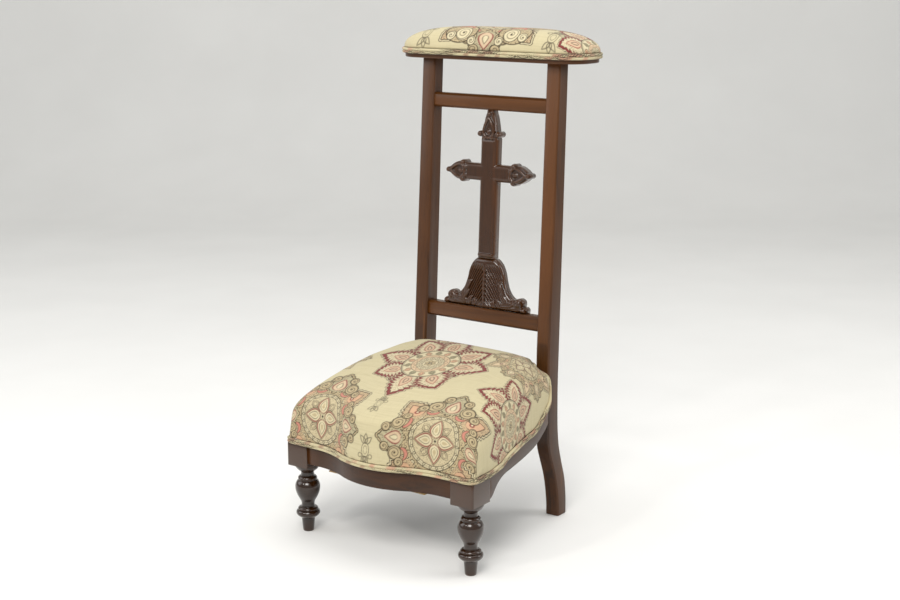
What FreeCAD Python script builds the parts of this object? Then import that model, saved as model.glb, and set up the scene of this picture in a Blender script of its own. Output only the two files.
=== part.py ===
import FreeCAD, Part
import math
import os
from FreeCAD import Vector, Placement, Rotation

# Low kneeling chair for prayer: turned front legs, raked back posts that run
# down into the rear legs, a cross between two crossrails, a sprung seat and a
# padded armrest.  X is across, the front faces -Y, Z is up, floor at Z = 0.
# Working numbers are taken from a line across the seat; the whole chair is
# moved by -shift_y so that Y = 0 is the middle of its depth.

doc = FreeCAD.newDocument("prayer_chair")
sheet = doc.addObject("Spreadsheet::Sheet", "sizes")

ROWS = [
    ("shift_y", 11.14, "from the working line to the middle of the depth"),
    # back posts
    ("post_width", 28.3, "across X"),
    ("post_x", 140.85, "middle of the foot of a back post"),
    ("post_lean", 0.272, "inward lean in degrees"),
    ("post_height", 844.4, "underside of the armrest board"),
    ("post_top_depth", 27.5, "front to back at the top"),
    ("rake_run", 0.0475, "backward run per unit of height"),
    ("rake_foot_y", 131.2, "front face of the posts at rake_foot_z"),
    ("rake_foot_z", 343.0, "height where the straight rake is measured"),
    ("post_bead", 2.6, "chamfer along the front edges of the posts"),
    # crossrails
    ("upper_rail_bottom", 754.2, "height"),
    ("upper_rail_top", 780.9, "height"),
    ("lower_rail_bottom", 358.4, "height"),
    ("lower_rail_top", 386.1, "height"),
    ("crossrail_depth", 22.0, "front to back"),
    ("crossrail_setback", 2.0, "behind the front of the posts"),
    ("crossrail_chamfer", 4.0, "front edges"),
    ("tenon_length", 10.0, "into each post"),
    ("tenon_height", 17.0, "crossrail tenon"),
    ("tenon_thick", 9.0, "crossrail tenon"),
    # cross
    ("cross_setback", 4.0, "front of the cross behind the front of the posts"),
    ("cross_thick", 20.0, "front to back"),
    ("cross_half_width", 17.4, "upright"),
    ("cross_arm_half", 15.4, "arm"),
    ("cross_arm_height", 639.5, "middle of the arm"),
    ("cross_bevel", 3.4, "front edges"),
    ("base_top", 480.0, "top of the bell-shaped base"),
    ("base_thick", 20.0, "bell-shaped base"),
    # front legs
    ("leg_x", 181.7, "turning axis"),
    ("leg_y", -160.1, "turning axis"),
    ("leg_block_half", 23.5, "half of the square block"),
    ("leg_block_front", 4.4, "how much further forward than the back half"),
    ("leg_block_bottom", 128.5, "height"),
    ("seat_rail_top", 170.0, "top of the front rail and of the blocks"),
    ("leg_corner", 3.5, "outer corner of the block"),
    # seat rails
    ("front_rail_bottom", 136.5, "height"),
    ("front_rail_y", -184.5, "flat ends of the front rail"),
    ("front_rail_bulge", 32.0, "how far the middle comes forward"),
    ("front_rail_run", 135.0, "half length of the serpentine"),
    ("rail_thick", 22.0, "all seat rails"),
    ("side_front_x", 202.0, "outer face at the leg block"),
    ("side_rear_x", 154.0, "outer face at the back post"),
    ("side_rear_y", 128.0, "where side_rear_x is measured"),
    ("rear_rail_bottom", 194.0, "height"),
    ("rear_rail_top", 288.5, "height"),
    ("rear_rail_setback", 3.5, "behind the front of the posts"),
    # armrest
    ("arm_half_length", 199.0, "armrest board"),
    ("arm_half_depth", 53.5, "armrest board"),
    ("arm_y", 187.5, "middle of the armrest board"),
    ("arm_corner", 46.0, "plan radius of the board"),
    ("arm_thick", 18.0, "armrest board"),
    ("arm_pad_top", 902.5, "crown of the armrest"),
    # upholstery
    ("cover_thick", 2.0, "seat and armrest covers"),
    ("welt_tall", 10.0, "double welt"),
    ("welt_deep", 5.6, "double welt"),
    # joinery and fixings
    ("dowel_dia", 8.0, "rail dowels"),
    ("dowel_half", 18.0, "half length of a rail dowel"),
    ("dowel_room", 0.1, "around a dowel"),
    ("screw_dia", 4.0, "wood screws"),
    ("web_width", 44.0, "webbing"),
    ("web_thick", 1.6, "webbing"),
    ("spring_wire", 3.2, "seat springs"),
    ("tack_head", 7.0, "head of a dust cover tack"),
]
for number, (name, value, note) in enumerate(ROWS, start=1):
    sheet.set("A%d" % number, name)
    sheet.set("B%d" % number, repr(value))
    sheet.setAlias("B%d" % number, name)
    sheet.set("C%d" % number, note)
doc.recompute()


def q(name):
    return float(sheet.get(name))


SHIFT = q("shift_y")
RAKE = math.degrees(math.atan(q("rake_run")))
COSR = math.cos(math.radians(RAKE))
parts = []          # every sub-part that becomes a file


# ------------------------------------------------------------------ helpers
def origin_plane(body, role):
    for feature in body.Origin.OriginFeatures:
        if feature.Role == role:
            return feature
    raise RuntimeError("no plane " + role)


def new_body(label):
    body = doc.addObject("PartDesign::Body", label)
    body.Label = label
    parts.append(body)
    return body


def sketch_on(body, role, name, offset=0.0, offset_cell=None, sign=1):
    sk = body.newObject("Sketcher::SketchObject", name)
    sk.AttachmentSupport = [(origin_plane(body, role), "")]
    sk.MapMode = "FlatFace"
    sk.AttachmentOffset = Placement(Vector(0, 0, sign * offset), Rotation())
    if offset_cell:
        sk.setExpression("AttachmentOffset.Base.z",
                         ("-" if sign < 0 else "") + offset_cell)
    return sk


def add_profile(sk, segments):
    """Closed profile of lines, three-point arcs and splines, joined end to end."""
    first = sk.GeometryCount
    for kind, pts in segments:
        p = [Vector(a, b, 0) for a, b in pts]
        if kind == "L":
            sk.addGeometry(Part.LineSegment(p[0], p[1]), False)
        elif kind == "A":
            arc = Part.Arc(p[0], p[1], p[2])
            sk.addGeometry(arc, False)
        elif kind == "T":
            # first and last entries are the end directions
            curve = Part.BSplineCurve()
            curve.interpolate(Points=p[1:-1], InitialTangent=p[0], FinalTangent=p[-1], Scale=True)
            sk.addGeometry(curve, False)
        else:
            curve = Part.BSplineCurve()
            curve.interpolate(p)
            sk.addGeometry(curve, False)
    return list(range(first, sk.GeometryCount))


def polygon(points):
    n = len(points)
    return [("L", [points[i], points[(i + 1) % n]]) for i in range(n)]


def centred_rect(sk, width_cell, height_cell, width, height):
    """Rectangle centred on the sketch origin, its two sizes bound to cells."""
    import Sketcher
    a, b = width / 2.0, height / 2.0
    c = [Vector(-a, -b, 0), Vector(a, -b, 0), Vector(a, b, 0), Vector(-a, b, 0)]
    for i in range(4):
        sk.addGeometry(Part.LineSegment(c[i], c[(i + 1) % 4]), False)
    for i in range(4):
        sk.addConstraint(Sketcher.Constraint("Coincident", i, 2, (i + 1) % 4, 1))
    for i, kind in ((0, "Horizontal"), (2, "Horizontal"), (1, "Vertical"), (3, "Vertical")):
        sk.addConstraint(Sketcher.Constraint(kind, i))
    sk.addConstraint(Sketcher.Constraint("Symmetric", 0, 1, 2, 1, -1, 1))
    k = sk.addConstraint(Sketcher.Constraint("DistanceX", 0, 1, 0, 2, width))
    sk.renameConstraint(k, "wide")
    k2 = sk.addConstraint(Sketcher.Constraint("DistanceY", 1, 1, 1, 2, height))
    sk.renameConstraint(k2, "tall")
    if width_cell:
        sk.setExpression("Constraints.wide", width_cell)
    if height_cell:
        sk.setExpression("Constraints.tall", height_cell)


def pad(body, sk, name, length, cell=None, midplane=False, reverse=False):
    f = body.newObject("PartDesign::Pad", name)
    f.Profile = sk
    f.Length = length
    if cell:
        f.setExpression("Length", cell)
    f.Midplane = midplane
    f.Reversed = reverse
    return f


def pocket(body, sk, name, length, cell=None, midplane=False, reverse=False, through=False):
    before = body.Shape.Volume if not body.Shape.isNull() else 0.0
    f = body.newObject("PartDesign::Pocket", name)
    f.Profile = sk
    if through:
        f.Type = 1
    f.Length = length
    if cell:
        f.setExpression("Length", cell)
    f.Midplane = midplane
    f.Reversed = reverse
    doc.recompute()
    if not body.Shape.Volume < before - 1e-6:
        raise RuntimeError("pocket %s in %s cuts nothing" % (name, body.Label))
    return f


def circles(sk, centres, radius):
    for a, b in centres:
        sk.addGeometry(Part.Circle(Vector(a, b, 0), Vector(0, 0, 1), radius), False)


def drill(body, role, name, offset, centres, radius, depth, sign=1):
    """Round holes, depth to each side of a plane at the given offset."""
    sk = sketch_on(body, role, name + "_sketch", offset, sign=sign)
    circles(sk, centres, radius)
    return pocket(body, sk, name, 2 * depth, midplane=True)


def dress(body, kind, name, size, chooser, cell=None):
    """Fillet or chamfer on the edges that chooser accepts."""
    doc.recompute()
    base = body.Tip
    names = ["Edge%d" % (i + 1) for i, e in enumerate(base.Shape.Edges) if chooser(e)]
    if not names:
        raise RuntimeError("no edges for %s in %s" % (name, body.Label))
    f = body.newObject("PartDesign::" + kind, name)
    f.Base = (base, names)
    if kind == "Fillet":
        f.Radius = size
        if cell:
            f.setExpression("Radius", cell)
    else:
        f.Size = size
        if cell:
            f.setExpression("Size", cell)
    doc.recompute()
    if f.Shape.isNull() or not f.Shape.isValid():
        raise RuntimeError("%s in %s failed" % (name, body.Label))
    return f


def mid(edge):
    return edge.valueAt((edge.FirstParameter + edge.LastParameter) / 2.0)


def place_shifted(obj, x=0.0, y=0.0, z=0.0, rot=None):
    """Place at working coordinates; the shift comes from the sheet."""
    obj.Placement = Placement(Vector(x, y - SHIFT, z), rot or Rotation())
    obj.setExpression("Placement.Base.y", "%r - sizes.shift_y" % float(y))


def raked_rotation():
    return Rotation(Vector(1, 0, 0), -RAKE)


def place_raked(obj):
    """Local x across, local y back, local z up the slope of the back posts."""
    place_shifted(obj, 0, q("rake_foot_y"), q("rake_foot_z"), raked_rotation())


def up(height):
    """Distance up the slope for a height above the floor."""
    return (height - q("rake_foot_z")) / COSR


def fixed(label, shape):
    """A sub-part whose shape is computed here from the sheet's numbers."""
    obj = doc.addObject("Part::Feature", label)
    obj.Label = label
    obj.Shape = shape
    place_shifted(obj)
    parts.append(obj)
    return obj


def smooth(xs, ys, x):
    """Monotone cubic through the points (xs, ys)."""
    n = len(xs)
    if x <= xs[0]:
        return ys[0]
    if x >= xs[-1]:
        return ys[-1]
    d = [(ys[i + 1] - ys[i]) / (xs[i + 1] - xs[i]) for i in range(n - 1)]
    m = [d[0]] + [0.0] * (n - 2) + [d[-1]]
    for i in range(1, n - 1):
        if d[i - 1] * d[i] > 0:
            w1 = 2 * (xs[i + 1] - xs[i]) + (xs[i] - xs[i - 1])
            w2 = (xs[i + 1] - xs[i]) + 2 * (xs[i] - xs[i - 1])
            m[i] = (w1 + w2) / (w1 / d[i - 1] + w2 / d[i])
    i = 0
    while x > xs[i + 1]:
        i += 1
    h = xs[i + 1] - xs[i]
    t = (x - xs[i]) / h
    return ((1 + 2 * t) * (1 - t) ** 2 * ys[i] + t * (1 - t) ** 2 * h * m[i]
            + t * t * (3 - 2 * t) * ys[i + 1] + t * t * (t - 1) * h * m[i + 1])


def patch_solid(upper, lower):
    """Closed solid between two grids of points that have the same layout."""
    faces = []
    rims = []
    for grid in (upper, lower):
        surf = Part.BSplineSurface()
        surf.interpolate(grid)
        u0, u1, v0, v1 = surf.bounds()
        faces.append(surf.toShape())
        rims.append([surf.vIso(v0).toShape(), surf.vIso(v1).toShape(),
                     surf.uIso(u0).toShape(), surf.uIso(u1).toShape()])
    for a, b in zip(rims[0], rims[1]):
        faces.append(Part.makeRuledSurface(a, b))
    shell = Part.Shell(faces)
    shell.sewShape()
    solid = Part.Solid(shell)
    if solid.Volume < 0:
        solid.reverse()
    if not solid.isValid():
        solid.fix(1e-4, 1e-4, 1e-3)
    return solid


def ring_solid(rails):
    """Closed ring whose section has one corner on each of the closed curves."""
    edges = []
    for pts in rails:
        c = Part.BSplineCurve()
        c.interpolate(pts, PeriodicFlag=True)
        edges.append(c.toShape())
    n = len(edges)
    faces = [Part.makeRuledSurface(edges[i], edges[(i + 1) % n]) for i in range(n)]
    shell = Part.Shell(faces)
    shell.sewShape()
    solid = Part.Solid(shell)
    if solid.Volume < 0:
        solid.reverse()
    return solid


# ------------------------------------------------------------ back posts
def rake(z):
    """Front plane of the crossrails and the cross, working Y for a height."""
    return q("rake_foot_y") + (z - q("rake_foot_z")) * q("rake_run")


POST_RUN = 0.0536


def post_front(z):
    """Front face of a back post: straight above 343, then upright, then swept back."""
    if z >= 343:
        return 127.6 + (z - 343) * POST_RUN
    return smooth([0, 20, 40, 73, 107, 142, 175, 205, 250, 290, 343],
                  [164.3, 164.1, 161.9, 155.1, 143.1, 130.1, 126.7, 126.2, 126.0, 126.2, 127.6], z)


def post_rear(z):
    return smooth([0, 15, 46, 86, 104, 151, 183, 242, 343, q("post_height")],
                  [191.4, 191.9, 190.2, 182.0, 175.2, 162.9, 160.0, 159.0, 162.2,
                   post_front(q("post_height")) + q("post_top_depth")], z)


POST_CURVE = [0, 20, 40, 60, 80, 100, 120, 140, 160, 180, 205, 235, 265, 300, 343]
REAR_RUN = (post_rear(q("post_height")) - post_rear(343)) / (q("post_height") - 343)


def build_post(side, label):
    body = new_body(label)
    top = q("post_height") - 0.13
    sk = sketch_on(body, "YZ_Plane", label + "_profile",
                   offset=-q("post_width") / 2.0, sign=1)
    sk.setExpression("AttachmentOffset.Base.z", "-sizes.post_width / 2")
    front = [(post_front(z), z) for z in POST_CURVE]
    rear = [(post_rear(z), z) for z in POST_CURVE]
    add_profile(sk, [
        ("L", [rear[0], front[0]]),
        ("T", [(0.0, 1.0)] + front + [(POST_RUN, 1.0)]),
        ("L", [front[-1], (post_front(top), top)]),
        ("L", [(post_front(top), top), (post_rear(top), top)]),
        ("L", [(post_rear(top), top), rear[-1]]),
        ("T", [(-REAR_RUN, -1.0)] + rear[::-1] + [(0.0, -1.0)]),
    ])
    pad(body, sk, label + "_pad", q("post_width"), "sizes.post_width")
    doc.recompute()
    half = q("post_width") / 2.0
    dress(body, "Chamfer", label + "_bead", q("post_bead"),
          lambda e: abs(abs(mid(e).x) - half) < 1e-3 and e.Length > 60
          and abs(mid(e).y - post_front(mid(e).z)) < 0.6 and mid(e).z > 343,
          "sizes.post_bead")
    dress(body, "Fillet", label + "_rear_round", 1.6,
          lambda e: abs(abs(mid(e).x) - half) < 1e-3 and e.Length > 60
          and abs(mid(e).y - post_rear(mid(e).z)) < 1.2 and mid(e).z > 343)
    dress(body, "Fillet", label + "_foot_round", 2.2,
          lambda e: abs(mid(e).z) < 1e-3)
    # mortises for the crossrail tenons, on the inner face
    for tag, lo, hi in (("upper", "upper_rail_bottom", "upper_rail_top"),
                        ("lower", "lower_rail_bottom", "lower_rail_top")):
        zc = (q(lo) + q(hi)) / 2.0
        yc = rake(zc) + q("crossrail_setback") + q("crossrail_depth") / 2.0
        zc -= (q("crossrail_setback") + q("crossrail_depth") / 2.0) * math.sin(math.radians(RAKE))
        sk2 = sketch_on(body, "YZ_Plane", "%s_%s_mortise_sketch" % (label, tag),
                        offset=-side * half)
        a, b = q("tenon_thick") / 2.0 + 0.15, q("tenon_height") / 2.0 + 0.15
        cr, sr = math.cos(math.radians(RAKE)), math.sin(math.radians(RAKE))
        pts = []
        for u, v in ((-a, -b), (a, -b), (a, b), (-a, b)):
            pts.append((yc + u * cr + v * sr, zc - u * sr + v * cr))
        add_profile(sk2, polygon(pts))
        pocket(body, sk2, "%s_%s_mortise" % (label, tag),
               2 * (q("tenon_length") + 0.3), midplane=True)
    # dowel holes for the rear seat rail on the inner face
    zr = (q("rear_rail_bottom") + q("rear_rail_top")) / 2.0
    drill(body, "YZ_Plane", label + "_rear_rail_holes", -side * half,
          [(rake(z) + q("rear_rail_setback") + q("rail_thick") / 2.0, z)
           for z in (zr - 30.2, zr + 30)],
          q("dowel_dia") / 2.0 + q("dowel_room"), q("dowel_half"))
    # dowel holes for the side rail on the front face
    drill(body, "XZ_Plane", label + "_side_rail_holes", post_front(211),
          [(-side * 1.2, 203.0), (-side * 1.2, 219.0)],
          q("dowel_dia") / 2.0 + q("dowel_room"), q("dowel_half"), sign=-1)
    # screw holes down from the top
    drill(body, "XY_Plane", label + "_screw_holes", top,
          [(0.0, post_front(top) + 8.0), (0.0, post_front(top) + 18.0)],
          q("screw_dia") / 2.0 + 0.1, 40.0)
    body.Placement = Placement(Vector(side * q("post_x"), -SHIFT, 0.06),
                               Rotation(Vector(0, 1, 0), -side * q("post_lean")))
    body.setExpression("Placement.Base.x", ("" if side > 0 else "-") + "sizes.post_x")
    body.setExpression("Placement.Base.y", "-sizes.shift_y")
    return body


build_post(-1, "rear_post_left")
build_post(1, "rear_post_right")


def post_inner(z):
    """Distance from the middle of the chair to the inner face of a post."""
    return (q("post_x") - q("post_width") / 2.0
            - z * math.tan(math.radians(q("post_lean"))))


# ------------------------------------------------------------ crossrails
def build_crossrail(label, low, high):
    body = new_body(label)
    zc = (q(low) + q(high)) / 2.0
    s = up(zc)
    height = (q(high) - q(low)) / COSR
    front = q("crossrail_setback")
    length = 2 * post_inner(q(high)) - 0.1
    sk = sketch_on(body, "XZ_Plane", label + "_face", offset=0.0)
    sk.AttachmentOffset = Placement(Vector(0, s, -front), Rotation())
    sk.setExpression("AttachmentOffset.Base.z", "-sizes.crossrail_setback")
    centred_rect(sk, None, "(sizes.%s - sizes.%s) / %r" % (high, low, COSR), length, height)
    pad(body, sk, label + "_pad", q("crossrail_depth"), "sizes.crossrail_depth", reverse=True)
    doc.recompute()
    dress(body, "Chamfer", label + "_front_edges", q("crossrail_chamfer"),
          lambda e: e.Length > 200 and abs(mid(e).y - front) < 1e-3,
          "sizes.crossrail_chamfer")
    dress(body, "Fillet", label + "_rear_edges", 1.2,
          lambda e: e.Length > 200 and abs(mid(e).y - front - q("crossrail_depth")) < 1e-3)
    sk2 = sketch_on(body, "YZ_Plane", label + "_tenon_sketch")
    sk2.AttachmentOffset = Placement(Vector(front + q("crossrail_depth") / 2.0, s, 0), Rotation())
    centred_rect(sk2, "sizes.tenon_thick", "sizes.tenon_height",
                 q("tenon_thick"), q("tenon_height"))
    pad(body, sk2, label + "_tenons", length + 2 * q("tenon_length"), midplane=True)
    doc.recompute()
    place_raked(body)
    return body


upper = build_crossrail("upper_crossrail", "upper_rail_bottom", "upper_rail_top")
lower = build_crossrail("lower_crossrail", "lower_rail_bottom", "lower_rail_top")
# sockets for the ends of the cross and of its base
CROSS_MID = q("cross_setback") + q("cross_thick") / 2.0
drill(upper, "XY_Plane", "upper_socket", up(q("upper_rail_bottom")), [(0.0, CROSS_MID)], 4.1, 10.2)
drill(lower, "XY_Plane", "lower_socket", up(q("lower_rail_top")),
      [(-40.0, CROSS_MID), (40.0, CROSS_MID)], 4.1, 10.2)


# ------------------------------------------------------------ cross
def build_cross_upright():
    body = new_body("cross_upright")
    w = q("cross_half_width")
    s0 = up(q("base_top")) - 0.0
    s1 = up(q("upper_rail_bottom"))
    k = [(w, up(700.0)), (14.9, up(716.0)), (12.4, up(730.0)), (9.6, up(742.0)),
         (7.0, up(749.0)), (6.2, s1)]
    sk = sketch_on(body, "XZ_Plane", "upright_face", q("cross_setback"),
                   "sizes.cross_setback", sign=-1)
    right = [(w, s0)] + [k[0]]
    add_profile(sk, [
        ("L", [(-w, s0), (w, s0)]),
        ("L", [(w, s0), k[0]]),
        ("S", k),
        ("L", [k[-1], (-k[-1][0], s1)]),
        ("S", [(-x, z) for x, z in k[::-1]]),
        ("L", [(-w, k[0][1]), (-w, s0)]),
    ])
    pad(body, sk, "upright_pad", q("cross_thick"), "sizes.cross_thick", reverse=True)
    doc.recompute()
    dress(body, "Chamfer", "upright_bevel", q("cross_bevel"),
          lambda e: abs(abs(mid(e).x) - w) < 1e-3 and e.Length > 100
          and abs(mid(e).y - q("cross_setback")) < 1e-3, "sizes.cross_bevel")
    # round knobs to each side of the top leaf, through the thickness
    sk = sketch_on(body, "XZ_Plane", "knob_sketch", q("cross_setback"), sign=-1)
    circles(sk, [(-19.4, up(710.3)), (19.4, up(710.3))], 5.6)
    pad(body, sk, "knobs", q("cross_thick") - 1.0, reverse=True)
    # small ball under the crossrail and the raised leaf below it
    sk = sketch_on(body, "XZ_Plane", "bead_sketch", q("cross_setback"), sign=-1)
    circles(sk, [(0.0, up(749.0))], 4.2)
    pad(body, sk, "bead", 2.2)
    sk = sketch_on(body, "XZ_Plane", "leaf_sketch", q("cross_setback"), sign=-1)
    a = [(0, up(702.5)), (8.5, up(705.5)), (13.6, up(714.0)), (11.0, up(727.0)),
         (5.0, up(738.5)), (0, up(742.5))]
    add_profile(sk, [("S", a), ("S", [(-x, z) for x, z in a[::-1]])])
    pad(body, sk, "leaf", 2.4)
    doc.recompute()
    sk = sketch_on(body, "XZ_Plane", "leaf_hollow_sketch", q("cross_setback") - 2.4, sign=-1)
    b = [(0, up(707.0)), (5.6, up(709.5)), (8.8, up(715.5)), (6.9, up(725.0)),
         (2.8, up(733.0)), (0, up(736.0))]
    add_profile(sk, [("S", b), ("S", [(-x, z) for x, z in b[::-1]])])
    pocket(body, sk, "leaf_hollow", 2.6)
    # half of the crossing is cut away at the back for the arm
    sk = sketch_on(body, "XZ_Plane", "lap_sketch",
                   q("cross_setback") + q("cross_thick") / 2.0, sign=-1)
    h = q("cross_arm_half") + 0.05
    add_profile(sk, polygon([(-30, up(q("cross_arm_height")) - h), (30, up(q("cross_arm_height")) - h),
                             (30, up(q("cross_arm_height")) + h), (-30, up(q("cross_arm_height")) + h)]))
    pocket(body, sk, "lap", 30.0)
    # round tenons at the two ends
    sk = sketch_on(body, "XY_Plane", "top_tenon_sketch", s1 - 4.0)
    circles(sk, [(0.0, CROSS_MID)], 4.0)
    pad(body, sk, "top_tenon", 4.0 + 10.0)
    sk = sketch_on(body, "XY_Plane", "foot_tenon_sketch", s0 + 4.0)
    circles(sk, [(0.0, CROSS_MID)], 5.0)
    pad(body, sk, "foot_tenon", 4.0 + 18.0, reverse=True)
    doc.recompute()
    place_raked(body)
    return body


def build_cross_arm():
    body = new_body("cross_arm")
    h = q("cross_arm_half")
    zc = up(q("cross_arm_height"))
    sk = sketch_on(body, "XZ_Plane", "arm_face", q("cross_setback"),
                   "sizes.cross_setback", sign=-1)
    add_profile(sk, polygon([(-50.0, zc - h), (50.0, zc - h), (50.0, zc + h), (-50.0, zc + h)]))
    pad(body, sk, "arm_pad", q("cross_thick"), "sizes.cross_thick", reverse=True)
    doc.recompute()
    dress(body, "Chamfer", "arm_bevel", q("cross_bevel"),
          lambda e: e.Length > 80 and abs(mid(e).y - q("cross_setback")) < 1e-3,
          "sizes.cross_bevel")
    end = [(47.0, 15.0), (54.0, 16.3), (62.0, 16.4), (70.0, 14.2), (79.0, 9.0), (86.5, 3.8)]
    for sx in (-1, 1):
        sk = sketch_on(body, "XZ_Plane", "arm_end_%s_sketch" % ("left" if sx < 0 else "right"),
                       q("cross_setback") + 0.4, sign=-1)
        add_profile(sk, [
            ("L", [(sx * 47.0, zc - 15.0), (sx * 47.0, zc + 15.0)]),
            ("S", [(sx * x, zc + z) for x, z in end]),
            ("L", [(sx * 86.5, zc + 3.8), (sx * 86.5, zc - 3.8)]),
            ("S", [(sx * x, zc - z) for x, z in end[::-1]])])
        pad(body, sk, "arm_end_" + ("left" if sx < 0 else "right"),
            q("cross_thick") - 0.8, reverse=True)
    doc.recompute()
    sk = sketch_on(body, "XZ_Plane", "end_knob_sketch", q("cross_setback"), sign=-1)
    circles(sk, [(sx * 56.5, zc + sz * 14.8) for sx in (-1, 1) for sz in (-1, 1)], 5.9)
    pad(body, sk, "end_knobs", q("cross_thick") - 1.0, reverse=True)
    sk = sketch_on(body, "XZ_Plane", "tip_sketch", q("cross_setback") + 2.0, sign=-1)
    circles(sk, [(-89.2, zc), (89.2, zc)], 4.4)
    pad(body, sk, "tip_balls", q("cross_thick") - 4.0, reverse=True)
    for sx in (-1, 1):
        tag = "left" if sx < 0 else "right"
        sk = sketch_on(body, "XZ_Plane", tag + "_leaf_sketch", q("cross_setback"), sign=-1)
        a = [(48.0, 0), (51.0, 8.6), (59.0, 13.4), (70.0, 10.6), (80.0, 4.8), (84.0, 0)]
        add_profile(sk, [("S", [(sx * x, zc + z) for x, z in a]),
                         ("S", [(sx * x, zc - z) for x, z in a[::-1]])])
        pad(body, sk, tag + "_leaf", 2.4)
        doc.recompute()
        sk = sketch_on(body, "XZ_Plane", tag + "_hollow_sketch", q("cross_setback") - 2.4, sign=-1)
        b = [(52.5, 0), (55.0, 5.6), (60.5, 8.7), (69.0, 6.6), (75.5, 2.8), (78.0, 0)]
        add_profile(sk, [("S", [(sx * x, zc + z) for x, z in b]),
                         ("S", [(sx * x, zc - z) for x, z in b[::-1]])])
        pocket(body, sk, tag + "_hollow", 2.6)
    # the front half is cut away where the upright crosses
    sk = sketch_on(body, "XZ_Plane", "arm_lap_sketch",
                   q("cross_setback") + q("cross_thick") / 2.0, sign=-1)
    w = q("cross_half_width") + 0.05
    add_profile(sk, polygon([(-w, zc - 30), (w, zc - 30), (w, zc + 30), (-w, zc + 30)]))
    pocket(body, sk, "arm_lap", 30.0, reverse=True)
    doc.recompute()
    place_raked(body)
    return body


def build_base():
    body = new_body("cross_base")
    low = up(q("lower_rail_top"))
    front = q("cross_setback") + 1.0
    half = [(0.0, 480.0), (17.6, 480.0), (22.5, 478.0), (30.0, 470.0), (36.0, 457.5), (40.2, 441.0),
            (44.2, 428.0), (49.5, 418.5), (57.0, 411.0), (64.0, 408.0)]
    r = [(x + 1.0 if x > 30 else x, up(z)) for x, z in half]
    sk = sketch_on(body, "XZ_Plane", "base_face", front, sign=-1)
    add_profile(sk, [
        ("L", [(-17.6, r[1][1]), (17.6, r[1][1])]),
        ("S", r[1:]),
        ("A", [r[-1], (85.0, up(403.5)), (84.0, up(397.5))]),
        ("A", [(84.0, up(397.5)), (92.9, up(392.6)), (93.0, low)]),
        ("L", [(93.0, low), (-93.0, low)]),
        ("A", [(-93.0, low), (-92.9, up(392.6)), (-84.0, up(397.5))]),
        ("A", [(-84.0, up(397.5)), (-85.0, up(403.5)), (-r[-1][0], r[-1][1])]),
        ("S", [(-x, z) for x, z in r[:0:-1]]),
    ])
    pad(body, sk, "base_pad", q("base_thick") - 1.0, reverse=True)
    doc.recompute()
    dress(body, "Fillet", "base_front_round", 3.5,
          lambda e: abs(mid(e).y - front) < 1e-3 and mid(e).z > low + 12 and abs(mid(e).x) < 63)
    # eyes of the scrolls
    sk = sketch_on(body, "XZ_Plane", "scroll_sketch", front, sign=-1)
    circles(sk, [(sx * 75.0, up(403.2)) for sx in (-1, 1)], 9.4)
    pad(body, sk, "scrolls", 2.0)
    sk = sketch_on(body, "XZ_Plane", "small_scroll_sketch", front, sign=-1)
    circles(sk, [(sx * 86.0, up(393.3)) for sx in (-1, 1)], 6.6)
    pad(body, sk, "small_scrolls", 1.4)
    # raised leaf down the middle
    sk = sketch_on(body, "XZ_Plane", "base_leaf_sketch", front, sign=-1)
    a = [(0, up(388.5)), (9.0, up(391.0)), (20.0, up(404.0)), (25.0, up(424.0)),
         (23.0, up(446.0)), (14.0, up(464.0)), (0, up(474.0))]
    add_profile(sk, [("S", a), ("S", [(-x, z) for x, z in a[::-1]])])
    pad(body, sk, "base_leaf", 3.2)
    doc.recompute()
    # socket for the foot of the upright, dowels into the crossrail
    drill(body, "XY_Plane", "upright_socket", up(q("base_top")), [(0.0, CROSS_MID)], 5.1, 18.3)
    sk = sketch_on(body, "XY_Plane", "base_tenon_sketch", low + 4.0)
    circles(sk, [(-40.0, CROSS_MID), (40.0, CROSS_MID)], 4.0)
    pad(body, sk, "base_tenons", 4.0 + 10.0, reverse=True)
    doc.recompute()
    place_raked(body)
    return body


build_cross_upright()
build_cross_arm()
build_base()


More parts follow.
